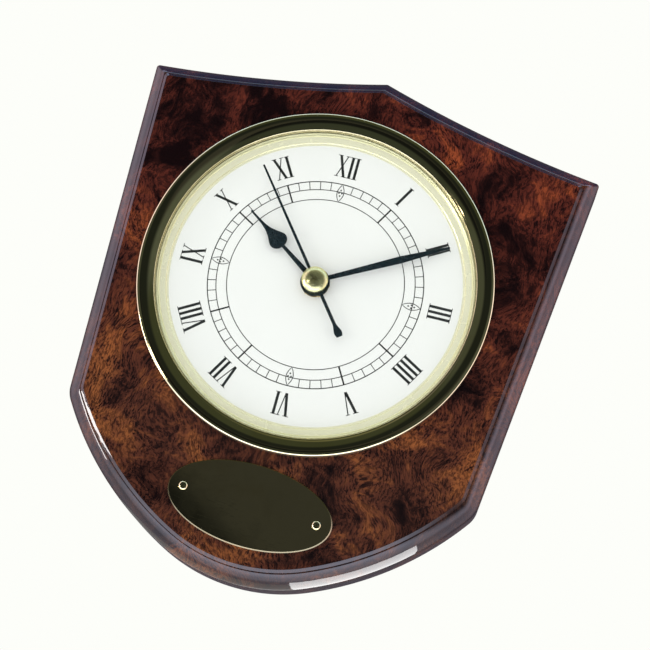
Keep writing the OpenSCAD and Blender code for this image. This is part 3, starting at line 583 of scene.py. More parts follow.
WEAR = Texture.WEAR
PLAIN_FINISHES = (
    Finish("brass", (0.88, 0.79, 0.47), (0.83, 0.73, 0.41), 0.045, 1.0, WEAR, amount=0.05, bump=0.01),
    Finish("cap_brass", (0.82, 0.79, 0.40), (0.74, 0.70, 0.32), 0.20, 1.0, WEAR, amount=0.1, bump=0.02),
    Finish("gilt_ring", (0.81, 0.80, 0.59), (0.80, 0.79, 0.575), 0.26, 0.20, WEAR, amount=0.02, bump=0.002),
    Finish("gilt_edge", (0.90, 0.88, 0.52), (0.88, 0.85, 0.49), 0.22, 0.62, WEAR, amount=0.03, bump=0.002),
    Finish("hanger_brass", (0.62, 0.46, 0.17), (0.42, 0.33, 0.17), 0.30, 1.0, WEAR, amount=0.2, bump=0.08),
    Finish("plain_brass", (0.72, 0.56, 0.24), (0.58, 0.44, 0.20), 0.24, 1.0, WEAR, amount=0.15, bump=0.05),
    Finish("screw_steel", (0.50, 0.50, 0.50), (0.34, 0.33, 0.31), 0.34, 1.0, WEAR, amount=0.2, bump=0.08),
    Finish("spring_steel", (0.56, 0.57, 0.58), (0.44, 0.44, 0.44), 0.28, 1.0, WEAR, amount=0.15, bump=0.05),
    Finish("bright_steel", (0.66, 0.66, 0.66), (0.54, 0.54, 0.55), 0.20, 1.0, WEAR, amount=0.15, bump=0.04),
    Finish("soft_iron", (0.40, 0.40, 0.40), (0.27, 0.26, 0.25), 0.42, 1.0, WEAR, amount=0.15, bump=0.08),
    Finish("copper_wire", (0.66, 0.26, 0.11), (0.48, 0.17, 0.07), 0.26, 1.0, WEAR, amount=0.1, bump=0.2),
    Finish("magnet_grey", (0.16, 0.16, 0.17), (0.10, 0.10, 0.11), 0.38, metal=0.8, scale=1400.0, bump=0.15),
    Finish("gasket_rubber", (0.016, 0.016, 0.017), (0.035, 0.034, 0.033), 0.72, scale=1500.0, bump=0.2),
    Finish("cup_plastic", (0.015, 0.015, 0.016), (0.032, 0.032, 0.033), 0.42, scale=1300.0, bump=0.18),
    Finish("case_plastic", (0.022, 0.022, 0.024), (0.040, 0.040, 0.042), 0.46, scale=1600.0, bump=0.25),
    Finish("train_plastic", (0.72, 0.70, 0.62), (0.62, 0.60, 0.52), 0.40, scale=1200.0, amount=0.06, bump=0.08),
    Finish("wheel_plastic", (0.80, 0.79, 0.74), (0.70, 0.69, 0.63), 0.36, scale=1200.0, amount=0.06, bump=0.06),
    Finish("knob_plastic", (0.62, 0.62, 0.60), (0.50, 0.50, 0.48), 0.40, scale=1200.0, amount=0.06, bump=0.1),
    Finish("bobbin_plastic", (0.74, 0.70, 0.58), (0.64, 0.60, 0.48), 0.40, scale=1200.0, amount=0.06, bump=0.08),
    Finish("circuit_green", (0.02, 0.13, 0.05), (0.03, 0.20, 0.08), 0.28, scale=700.0, bump=0.1, coat=0.4),
    Finish("chip_resin", (0.010, 0.010, 0.011), (0.024, 0.023, 0.022), 0.30, bump=0.1, coat=0.3),
    Finish(
        "hand_enamel", (0.004, 0.012, 0.017), (0.008, 0.017, 0.021), 0.24,
        scale=1500.0, amount=0.05, bump=0.04, coat=0.35,
    ),
    Finish("dial_print", (0.010, 0.013, 0.013), (0.020, 0.024, 0.024), 0.40, scale=2500.0, amount=0.06),
    Finish("dial_enamel", (0.79, 0.802, 0.785), (0.775, 0.79, 0.77), 0.35, scale=1600.0, amount=0.05, bump=0.02),
)


@dataclass(frozen=True)
class Lacquer:
    """Burl in three tones, under a thick clear coat that has a faint ripple."""

    slot: str
    dark: Colour
    middle: Colour
    light: Colour
    ripple: float
    ripple_scale: float
    ripple_detail: float
    coat_rough: float
    pores: float = 0.0

    def make(self) -> bpy.types.Material:
        """Builds the material. Without pores the ripple is in the wood as well as in the coat.

        Returns:
            The material, named after its slot.
        """
        plain = {"Coat_Weight": 1.0, "Coat_Roughness": self.coat_rough, "Coat_IOR": 1.55, "Specular_IOR_Level": 0.03}
        material, tree, shader = start_material(self.slot, **plain)
        where = tree.where()
        # the burl group also paints shade that darkens the wood towards the top of the board
        burl = tree.group("burl_figure_top_shade", Vector=where, Dark=self.dark, Middle=self.middle, Light=self.light)
        wear = tree.group("handling_wear", Vector=where, Roughness=0.4, Amount=0.1)
        ripple = tree.bump(tree.noise(where, self.ripple_scale, self.ripple_detail), self.ripple, 0.001)
        wood = tree.bump(burl.outputs["Pores"], self.pores) if self.pores else ripple
        tree.put(shader, Base_Color=burl.outputs["Colour"], Roughness=wear.outputs["Roughness"])
        tree.put(shader, Normal=wood, Coat_Normal=ripple)
        return material


LACQUERS = (
    Lacquer(
        "lacquered_wood", (0.0045, 0.0014, 0.0018), (0.070, 0.0185, 0.0100), (0.22, 0.062, 0.018),
        ripple=0.03, ripple_scale=60.0, ripple_detail=1.0, coat_rough=0.025, pores=0.05,
    ),
    Lacquer(
        "edge_lacquer", (0.005, 0.002, 0.003), (0.030, 0.010, 0.006), (0.11, 0.032, 0.012),
        ripple=0.06, ripple_scale=150.0, ripple_detail=2.0, coat_rough=0.03,
    ),
)


class Paintbox:
    """Every material of the clock, by the name of its slot."""

    def __init__(self) -> None:
        """Builds the shared groups and all the materials."""
        make_grain_group()
        make_wear_group()
        make_burl_group()
        self.made = {finish.slot: finish.make() for finish in (*PLAIN_FINISHES, *LACQUERS)}
        self.made["bare_board"] = self.bare_board()
        self.made["clock_glass"] = self.clock_glass()
        self.made["battery_jacket"] = self.battery_jacket()

    def __getitem__(self, slot: str) -> bpy.types.Material:
        """Returns the material of a slot."""
        return self.made[slot]

    def bare_board(self) -> bpy.types.Material:
        """Raw pressed fibre, seen in the cuts and on the back under a thin brown stain.

        Returns:
            The material.
        """
        material, tree, shader = start_material("bare_board")
        where = tree.where()
        mask = tree.group("surface_grain", Vector=where, Scale=700.0).outputs["Mask"]
        fibre = tree.noise(where, 1900.0, 3.0, 0.7)
        stain = tree.mix(mask, (0.052, 0.026, 0.014), (0.085, 0.044, 0.024))
        colour = tree.mix(tree.ramp(fibre, 0.52, 0.72), stain, (0.13, 0.075, 0.042))
        rough = tree.ramp(mask, 0.0, 1.0, 0.62, 0.8)
        tree.put(shader, Base_Color=colour, Roughness=rough, Normal=tree.bump(fibre, 0.25, 0.0003))
        return material

    def clock_glass(self) -> bpy.types.Material:
        """Clear glass that lets lamp light and soft light straight through to the dial.

        Returns:
            The material.
        """
        clean, smudged = (0.995, 1.0, 0.99), (0.96, 0.98, 0.96)
        material, tree, shader = start_material("clock_glass", Transmission_Weight=1.0, IOR=1.46)
        smudge = tree.ramp(tree.noise(tree.where(), 45.0, 4.0, 0.6, 0.6), 0.45, 0.8, 0.0, 0.03)
        tree.put(shader, Roughness=smudge, Base_Color=tree.mix(smudge, clean, smudged))
        path = tree.node("LightPath").outputs
        through = tree.maths("MAXIMUM", path["Is Shadow Ray"], path["Is Diffuse Ray"])
        clear = tree.node("BsdfTransparent", None, Color=clean)
        both = tree.numbered("MixShader", {}, {0: through, 1: shader.outputs[0], 2: clear.outputs[0]})
        tree.put(next(n for n in tree.tree.nodes if n.type == "OUTPUT_MATERIAL"), Surface=both)
        return material

    def battery_jacket(self) -> bpy.types.Material:
        """Printed cell jacket: a dark body with one copper end, split along the cell's length (X).

        Returns:
            The material.
        """
        material, tree, shader = start_material("battery_jacket")
        where = tree.where()
        grain = tree.group("surface_grain", Vector=where, Scale=800.0)
        copper = tree.ramp(tree.node("SeparateXYZ", None, Vector=where).outputs["X"], 0.0118, 0.0120)
        body = tree.mix(grain.outputs["Mask"], (0.012, 0.013, 0.016), (0.022, 0.023, 0.027))
        tree.put(
            shader,
            Base_Color=tree.mix(copper, body, (0.55, 0.25, 0.09)),
            Metallic=tree.ramp(copper, 0.0, 1.0, 0.2, 0.9),
            Roughness=tree.ramp(grain.outputs["Mask"], 0.0, 1.0, 0.24, 0.34),
            Normal=tree.bump(grain.outputs["Height"], 0.05),
        )
        return material


@dataclass
class ShieldBoard:
    """The lacquered board: a shield outline, a rounded edge, a small step and the round hole.

    The arc_points are the counts on each stretch of half the outline: peak, top arc, corner, side,
    low corner, flank and tip.
    """

    paint: Paintbox
    width: float = 173.5
    peak_up: float = 84.0
    corner_up: float = 67.4
    top_dip: float = 2.0
    side_lean: float = 4.5
    bottom_down: float = 112.1
    tip_r: float = 65.0
    tip_half: float = 24.7
    flank_r: float = 118.0
    low_r: float = 10.0
    corner_r: float = 1.2
    arc_points: tuple[int, ...] = (8, 26, 10, 14, 16, 40, 20)
    thick: float = 20.0
    round_w: float = 5.2
    round_d: float = 5.8
    step_d: float = 1.0
    step_w: float = 1.0
    bevel_w: float = 1.15
    fullness: float = 1.28
    hole_r: float = 60.55
    hanger_w: float = 38.0
    hanger_t: float = 1.2
    hanger_z: Point = (-5.0, 9.0)
    pocket_w: float = 12.5
    pocket_d: float = 7.0
    pocket_z: Point = (-4.25, 8.0)
    crease: float = 40.0

    def __post_init__(self) -> None:
        """Works out the arcs' centres, as the part's source does."""
        run, fall = self.width / 2, self.peak_up - self.corner_up
        chord = math.hypot(run, fall)
        self.arc_r = ((chord / 2) ** 2 + self.top_dip**2) / (2 * self.top_dip)
        half_way = np.array([run / 2, (self.peak_up + self.corner_up) / 2])
        self.arc_c = half_way + (self.arc_r - self.top_dip) * np.array([fall, run]) / chord
        tip, lean = math.radians(self.tip_half), math.radians(self.side_lean)
        self.tip_c = np.array([0.0, self.tip_r - self.bottom_down])
        self.flank_c = self.tip_c + (self.flank_r - self.tip_r) * np.array([-math.sin(tip), math.cos(tip)])
        self.side_dir = np.array([-math.sin(lean), -math.cos(lean)])
        self.side_in = np.array([-math.cos(lean), math.sin(lean)])
        self.top_corner = np.array([run, self.corner_up])
        self.low_c = self.on_side(self.low_r, self.flank_c, self.flank_r - self.low_r)
        self.low_a = math.atan2(*(self.low_c - self.flank_c)[::-1])
        self.join_a = tip - math.pi / 2

    def on_side(self, inset: float, centre: np.ndarray, r: float) -> np.ndarray:
        """Where the side line, drawn in by an inset, leaves a circle.

        Args:
            inset: how far inside the board's side the line runs.
            centre: centre of the circle.
            r: its radius.

        Returns:
            The point.
        """
        base = self.top_corner + inset * self.side_in
        rel = base - centre
        along = rel @ self.side_dir
        return base + (-along + math.sqrt(along**2 - rel @ rel + r**2)) * self.side_dir

    def outline(self, inset: float) -> np.ndarray:
        """Closed outline drawn in by an inset: arcs of circles joined by short corner rounds.

        Args:
            inset: how far inside the board's edge it runs.

        Returns:
            Array of points, clockwise from the top point.
        """

        def arc(centre: np.ndarray, r: float, a0: float, a1: float, n: int) -> np.ndarray:
            """Points from angle a0 to a1 of a circle, without the last."""
            a = np.linspace(a0, a1, n, endpoint=False)
            return centre + r * np.stack([np.cos(a), np.sin(a)], -1)

        r, low_r, top_r = self.corner_r, self.low_r - inset, self.arc_r + inset
        peak = np.array([0.0, self.arc_c[1] - math.sqrt((top_r + r) ** 2 - self.arc_c[0] ** 2)])
        corner = self.on_side(inset + r, self.arc_c, top_r + r)
        a_peak, a_corner = (math.atan2(*(p - self.arc_c)[::-1]) for p in (peak, corner))
        lean = math.radians(self.side_lean)
        side = corner - r * self.side_in, self.low_c - low_r * self.side_in
        n = self.arc_points
        half = np.concatenate([
            arc(peak, r, math.pi / 2, a_peak + math.pi, n[0]),
            arc(self.arc_c, top_r, a_peak, a_corner, n[1]),
            arc(corner, r, a_corner + math.pi, -lean, n[2]),
            np.linspace(*side, n[3], endpoint=False),
            arc(self.low_c, low_r, -lean, self.low_a, n[4]),
            arc(self.flank_c, self.flank_r - inset, self.low_a, self.join_a, n[5]),
            arc(self.tip_c, self.tip_r - inset, self.join_a, -math.pi / 2, n[6]),
            [self.tip_c + [0.0, -(self.tip_r - inset)]],
        ])
        return np.concatenate([half, half[-2:0:-1] * [-1, 1]])

    def section(self) -> Profile:
        """Edge profile from the back to the face, with every corner eased.

        The round is (1 - x / w)^n + (z / d)^n = 1, flatter than an ellipse, with a fine bevel above it.

        Returns:
            Points of (inset, height).
        """
        top = self.thick - self.step_d
        low = top - self.round_d
        inner = self.round_w + self.step_w
        wide, power = inner - self.bevel_w, 2 / self.fullness
        a = np.linspace(0, math.pi / 2, 21)[:-3]
        bend = [(wide * (1 - math.cos(t) ** power), low + self.round_d * math.sin(t) ** power) for t in a]
        foot, brow = (wide, top + 0.04), (inner, self.thick)
        heel = rounded(foot, (wide - 1, top), brow, 0.1, 2)
        lip = rounded(brow, foot, (inner + 1, self.thick), 0.1, 3)
        back = [(1.5, 0.0), (0.5, 0.0), (0.15, 0.12), (0.0, 0.45), (0.0, 4.0), (0.0, 9.0)]
        return [*back, *bend, *heel, *lip, (inner + 2, self.thick)]

    def shell(self) -> bpy.types.Mesh:
        """The whole board as one closed grid: outline by section, then face, hole wall and back.

        Returns:
            The mesh, with the lacquer on index 0, the bare board on 1 and the dark edge on 2.
        """
        rings = [np.column_stack([p := self.outline(d), np.full(len(p), z)]) for d, z in self.section()]
        first, last = rings[0], rings[-1]
        hole_c = np.array([-LAYOUT.insert_left, 0.0])
        toward = last[:, :2] - hole_c
        ring = hole_c + self.hole_r * toward / np.linalg.norm(toward, axis=1)[:, None]
        face, back = (np.column_stack([ring, np.full(len(ring), z)]) for z in (self.thick, 0.0))
        inward = [last * 0.67 + face * 0.33, last * 0.33 + face * 0.67, face]
        rows = [*rings, *inward, (face + back) / 2, back, (back + first) / 2]
        faces = grid_faces(len(rows), len(last), True, True)
        mesh = clean_mesh("shield_board_finished", LAYOUT.on_board(np.stack(rows)), faces.tolist(), self.crease)
        centres, backward = face_vectors(mesh, "center") / MM, face_vectors(mesh, "normal")[:, 1]
        from_hole = np.hypot(centres[:, 0] + LAYOUT.insert_left, centres[:, 2] + LAYOUT.hanger_up)
        on_back, upright, not_flat = backward > 0.9, np.abs(backward) < 0.3, backward > -0.985
        bare = on_back | (upright & (from_hole < self.hole_r + 0.5))
        edge = not_flat & ~bare
        looks = [self.paint[slot] for slot in ("lacquered_wood", "bare_board", "edge_lacquer")]
        paint_faces(mesh, looks, bare + 2 * edge)
        return mesh

    def cutter(self, name: str, width: float, deep: float, z: Point) -> bpy.types.Object:
        """Block that stands 1 mm out of the board's back, with bare board as its finish.

        Args:
            name: name of the block.
            width: its width, centred.
            deep: how far it goes into the board.
            z: its lowest and highest place.

        Returns:
            The block.
        """
        corners = np.array([[x, y, up] for x in (-width / 2, width / 2) for y in (-deep, 1.0) for up in z])
        faces = [[0, 1, 3, 2], [4, 6, 7, 5], [0, 4, 5, 1], [2, 3, 7, 6], [0, 2, 6, 4], [1, 5, 7, 3]]
        mesh = clean_mesh(name, corners, faces)
        paint_faces(mesh, [self.paint["lacquered_wood"], self.paint["bare_board"]], np.ones(len(faces)))
        return put_in_scene(name, mesh)

    def build(self) -> None:
        """Builds the board and cuts the hanger's recess and pocket out of its back."""
        obj = put_in_scene("shield_board_finished", self.shell())
        cutters = [
            self.cutter("recess_cut", self.hanger_w, self.hanger_t, self.hanger_z),
            self.cutter("pocket_cut", self.pocket_w, self.hanger_t + self.pocket_d, self.pocket_z),
        ]
        for cutter in cutters:
            cut = obj.modifiers.new(cutter.name, "BOOLEAN")
            cut.operation, cut.solver, cut.object = "DIFFERENCE", "EXACT", cutter
        graph = bpy.context.evaluated_depsgraph_get()
        finished = bpy.data.meshes.new_from_object(obj.evaluated_get(graph))
        obj.modifiers.clear()
        obj.data = finished
        for cutter in cutters:
            bpy.data.objects.remove(cutter)
        finished.set_sharp_from_angle(angle=math.radians(self.crease))
        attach(obj, "board")
        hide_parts("shield_board")
        LOG.info("piece shield_board_finished: %d faces on board", len(finished.polygons))


@dataclass
class NamePlate:
    """The blank oval plate and its two pins."""

    paint: Paintbox
    width: float = 60.0
    height: float = 29.6
    thick: float = 0.8
    down: float = 85.2
    rim: float = 0.48
    middle: float = 14.79
    pin_gap: float = 49.0
    pin_r: float = 1.6
    pin_t: float = 0.8
    shank_r: float = 0.55

    def ring(self, inset: float, z: float) -> np.ndarray:
        """Ellipse drawn in from the plate's edge.

        Args:
            inset: how far it is drawn in.
            z: its height over the board's face.

        Returns:
            Array of board points.
        """
        a = round_angles(220)[:, 0]
        x, y = (self.width / 2 - inset) * np.cos(a), (self.height / 2 - inset) * np.sin(a) - self.down
        return np.stack([x, y, 0 * a + z + LAYOUT.board_t], -1)

    def plate(self) -> bpy.types.Mesh:
        """Oval sheet: rings of an ellipse drawn in from its edge, with a thin sloped rim.

        Returns:
            The mesh.
        """
        t, rim = self.thick, self.rim
        edge = [(0.0, 0.0), (0.0, t - 0.5), (0.08, t - 0.38), (rim - 0.14, t - 0.04), (rim, t)]
        section = [(self.middle, 0.0), *edge, (rim + 0.6, t), (9.0, t), (self.middle, t)]
        rows = [self.ring(inset, z) for inset, z in section]
        faces = tube_faces(len(rows), len(rows[0]))
        return clean_mesh("name_plate_finished", LAYOUT.on_board(np.stack(rows)), faces, 14)

    def pins(self) -> bpy.types.Mesh:
        """Two domed heads with a small flat centre and a rounded edge, each turned on its own axis.

        Returns:
            The mesh.
        """
        steps, base, edge = 48, LAYOUT.board_t + self.thick, self.shank_r
        shank = [(0.0, -2.0), (edge, -2.0), (edge, 0.0), (self.pin_r, 0.0), (self.pin_r, 0.2)]
        dome = [(1.42, 0.5), (1.1, 0.7), (0.75, self.pin_t), (edge, 0.74), (0.3, 0.66), (0.0, 0.64)]
        one = turned_points([*shank, *dome], steps).reshape(-1, 3)
        faces = grid_faces(steps, len(shank + dome), True, False).tolist()
        points, faces = joined([(one + [x * self.pin_gap / 2, -self.down, base], faces) for x in (-1, 1)])
        return clean_mesh("plate_pins_finished", LAYOUT.on_board(points), faces, 50)

    def build(self) -> None:
        """Adds the plate and its pins."""
        for node, mesh in (("name_plate", self.plate()), ("plate_pins", self.pins())):
            add_piece(node + "_finished", mesh, "board", self.paint["brass"], (node,))


@dataclass(frozen=True)
class Letter:
    """Roman letter: slanted bars (foot, head, width) and serifs (centre, width, 1 at the head or 0)."""

    bars: tuple[tuple[float, float, float], ...]
    serifs: tuple[tuple[float, float, int], ...]
    width: float
    serif_t: float = 0.25

    def marks(self, top: float) -> np.ndarray:
        """Strokes and serifs of the letter, set at x = 0 on the foot line.

        Args:
            top: height of the letter.

        Returns:
            Array of (marks, 4, 2).
        """
        marks = [[[x0 - w / 2, 0], [x0 + w / 2, 0], [x1 + w / 2, top], [x1 - w / 2, top]] for x0, x1, w in self.bars]
        for c, w, high in self.serifs:
            y = high * (top - self.serif_t)
            y1 = y + self.serif_t
            marks.append([[c - w / 2, y], [c + w / 2, y], [c + w / 2, y1], [c - w / 2, y1]])
        return np.array(marks)


LETTERS = {
    "I": Letter(((0.98, 0.98, 1.0),), ((0.98, 1.96, 0), (0.98, 1.96, 1)), 1.98),
    "V": Letter(((2.45, 0.85, 1.0), (2.70, 3.75, 0.38)), ((0.85, 2.1, 1), (3.75, 1.5, 1)), 4.45),
    "X": Letter(
        ((3.75, 0.95, 1.0), (0.95, 3.75, 0.38)),
        ((0.95, 1.8, 1), (3.75, 1.5, 1), (0.95, 1.5, 0), (3.75, 1.8, 0)),
        4.7,
    ),
}


@dataclass
class Insert:
    """The round insert: bezel, glass, sloped ring and printed dial."""

    paint: Paintbox
    bezel_r: float = 65.0
    bead_r: float = 1.0
    bead_w: float = 1.9
    lip_r: float = 58.2
    lip_h: float = 3.5
    band_bulge: float = 0.9
    skirt_r: float = 60.2
    skirt_in: float = 59.4
    skirt_back: float = 7.0
    groove_r: float = 59.88
    groove_h: Point = (-6.05, -5.2)
    face_h: float = 3.5
    glass_edge_h: float = 2.9
    glass_rise: float = 10.0
    glass_t: float = 1.4
    dial_r: float = 57.5
    dial_t: float = 0.5
    bush_r: float = 3.55
    print_t: float = 0.03
    circles: tuple[float, ...] = (39.36, 36.22, 32.35)
    circle_w: tuple[float, ...] = (0.36, 0.3, 0.3)
    minute_half: float = 0.14
    hour_half: float = 0.29
    leaf_half: float = 1.4
    leaf_line: float = 0.3
    numeral_low: float = 42.1
    numeral_high: float = 50.6
    numerals: str = "XII I II III IIII V VI VII VIII IX X XI"

    def bezel(self) -> bpy.types.Mesh:
        """Turned rim: lip, bulging band up to the rounded bead, then the skirt behind the board.

        Returns:
            The mesh.
        """
        x, y = self.bezel_r - self.bead_w, self.face_h + 0.95 * self.bead_r
        a = np.radians(np.linspace(104, -90, 26))
        bead = [(x + self.bead_w * math.cos(t), y + self.bead_r * math.sin(t)) for t in a]
        u = np.linspace(0, 1, 18)
        start, end = np.array([self.lip_r + 1.0, self.lip_h + 0.86]), np.array(bead[0])
        band = start + (end - start) * u[:, None]
        band[:, 1] += self.band_bulge * u * (1 - u)
        rim = [(0.0, -0.5), (0.0, -0.15), (0.08, -0.02), (0.22, 0.03), (0.3, 0.1), (0.36, 0.5), (0.44, 0.62)]
        lip = [(self.lip_r + x, self.lip_h + y) for x, y in (*rim, (0.6, 0.7))]
        outside = [(self.bezel_r - 1.2, self.face_h), (self.skirt_r, self.face_h), (self.skirt_r, -self.skirt_back)]
        low, high = self.groove_h
        groove = [(self.skirt_in, low), (self.groove_r, low), (self.groove_r, high), (self.skirt_in, high)]
        skirt = [*outside, (self.skirt_in, -self.skirt_back), *groove, (self.skirt_in, 3.0)]
        return turned_mesh("bezel_finished", [*lip, *map(tuple, band), *bead[1:], *skirt], 360, True, 35)

    def glass(self) -> bpy.types.Mesh:
        """Domed glass: two cuts of a sphere, the inner one a thickness behind the outer one.

        Returns:
            The mesh.
        """
        ball = (self.lip_r**2 + self.glass_rise**2) / (2 * self.glass_rise)
        r = (self.skirt_in - 0.1) * np.linspace(0, 1, 60)
        over = self.glass_edge_h + self.glass_rise - ball + np.sqrt(ball**2 - r**2)
        section = [*zip(r, over), *zip(r[::-1], over[::-1] - self.glass_t)]
        return turned_mesh("glass_finished", section, closed=False, crease=50)

    def sloped_ring(self) -> bpy.types.Mesh:
        """Gilt ring that falls from the glass to the dial in shallow treads with bright steps between them.

        Returns:
            The mesh, with the pale gilding on index 0 and the bright steps on 1.
        """
        treads = [(53.5, 0.0), (53.5, 0.12), (54.2, 0.2), (54.5, 0.5), (56.7, 0.85), (57.0, 1.3), (57.5, 1.55)]
        shape = softened([*treads, (58.0, 2.25)], [0, 0.08, 0.04, 0.04, 0.04, 0.04, 0.2, 0], 3)
        outer = [(58.1, 1.6), (58.1, 0.9), (59.2, 0.7), (59.3, -0.5), (57.55, -0.5), (57.55, 0.0)]
        mesh = turned_mesh("rehaut_ring_finished", [*shape, *outer], 360, True, 24)
        steep = face_vectors(mesh, "normal")[:, 1] > -0.9
        paint_faces(mesh, [self.paint["gilt_ring"], self.paint["gilt_edge"]], steep)
        return mesh

    def dial(self) -> bpy.types.Mesh:
        """Flat disc with an eased edge and the hole for the bush.

        Returns:
            The mesh.
        """
        t, r = self.dial_t, self.dial_r
        face = [(self.bush_r, 0.0), (20.0, 0.0), (40.0, 0.0), (r - 0.1, 0.0)]
        return turned_mesh("dial_finished", [(self.bush_r, -t), *face, (r, -0.1), (r, -t)])

    def rings(self) -> list[Part]:
        """Printed circles as flat rings of a fine rectangular section.

        Returns:
            Dial points and faces of each.
        """
        steps, parts = 240, []
        faces = grid_faces(steps, 4, True, True).tolist()
        for r, w in zip(self.circles, self.circle_w):
            section = [(r + side * w / 2, h) for side, h in ((-1, 0), (1, 0), (1, self.print_t), (-1, self.print_t))]
            parts.append((turned_points(section, steps).reshape(-1, 3), faces))
        return parts

    def ticks(self) -> np.ndarray:
        """Minute lines, and longer, heavier hour lines, each a narrow four-sided mark.

        The fives have no minute line, and the quarters have no hour line.

        Returns:
            Array of (marks, 4, 2).
        """
        outer, middle, inner = self.circles
        minutes = [(6 * m, middle, self.minute_half) for m in range(60) if m % 5]
        hours = [(30 * h, inner, self.hour_half) for h in range(12) if h % 3]
        angle, low, half = np.array(minutes + hours).T
        a = np.radians(angle)
        out = np.stack([np.sin(a), np.cos(a)], -1)
        across = np.stack([np.cos(a), -np.sin(a)], -1) * half[:, None]
        near, far = out * low[:, None], out * outer
        return np.stack([near - across, near + across, far + across, far - across], 1)

    def leaves(self) -> np.ndarray:
        """Four leaf outlines at the quarters, each a band between two bowed sides, with four dots.

        Returns:
            Array of (marks, 4, 2).
        """
        outer, _, inner = self.circles
        v = np.linspace(0, 1, 13)
        y, bow = inner + (outer - inner) * v, self.leaf_half * np.sin(math.pi * v) ** 0.85
        inside = np.maximum(bow - self.leaf_line, 0)
        edge, back = np.stack([bow, y], -1), np.stack([inside, y], -1)
        side = np.stack([edge[:-1], edge[1:], back[1:], back[:-1]], 1)
        wide, high, middle = 0.36, 0.42, (outer + inner) / 2
        dot = np.array([[0, -high], [wide, 0], [0, high], [-wide, 0]])
        dots = np.array([[0.0, 1.1], [0.0, -1.1], [0.55, 0.0], [-0.55, 0.0]])[:, None] + dot + [0, middle]
        one = np.concatenate([side, side * [-1, 1], dots])
        flat = np.concatenate([one, 0 * one[..., :1]], -1)
        return np.concatenate([spun(flat, -quarter)[..., :2] for quarter in (0, 90, 180, 270)])

    def words(self) -> np.ndarray:
        """Twelve roman numerals, heads outwards, each laid along the tangent at its hour.

        Returns:
            Array of (marks, 4, 2).
        """
        out, top = [], self.numeral_high - self.numeral_low
        for hour, name in enumerate(self.numerals.split()):
            letters = [LETTERS[kind] for kind in name]
            ends = np.cumsum([0.0, *(letter.width for letter in letters)])
            marks = np.concatenate([letter.marks(top) + [x, 0] for letter, x in zip(letters, ends)])
            flat = marks + [-ends[-1] / 2, self.numeral_low]
            a = math.radians(30 * hour)
            across, outward = np.array([math.cos(a), -math.sin(a)]), np.array([math.sin(a), math.cos(a)])
            out.append(flat[..., :1] * across + flat[..., 1:] * outward)
        return np.concatenate(out)

    def printing(self) -> None:
        """Adds the dial's print in three thin layers."""
        track = [*self.rings(), prisms(self.ticks(), self.print_t)]
        words, leaves = ([prisms(marks, self.print_t)] for marks in (self.words(), self.leaves()))
        for name, parts in (("minute_track", track), ("hour_numerals", words), ("quarter_leaves", leaves)):
            points, faces = joined(parts)
            mesh = clean_mesh(name, LAYOUT.on_dial(points), faces)
            add_piece(name, mesh, "insert", self.paint["dial_print"])

    def build(self) -> None:
        """Adds every piece of the insert that is seen from the front."""
        for node, mesh, slot in (
            ("bezel", self.bezel(), "brass"),
            ("glass", self.glass(), "clock_glass"),
            ("rehaut_ring", self.sloped_ring(), "gilt_ring"),
            ("dial", self.dial(), "dial_enamel"),
        ):
            add_piece(node + "_finished", mesh, "insert", self.paint[slot], (node,))
        self.printing()


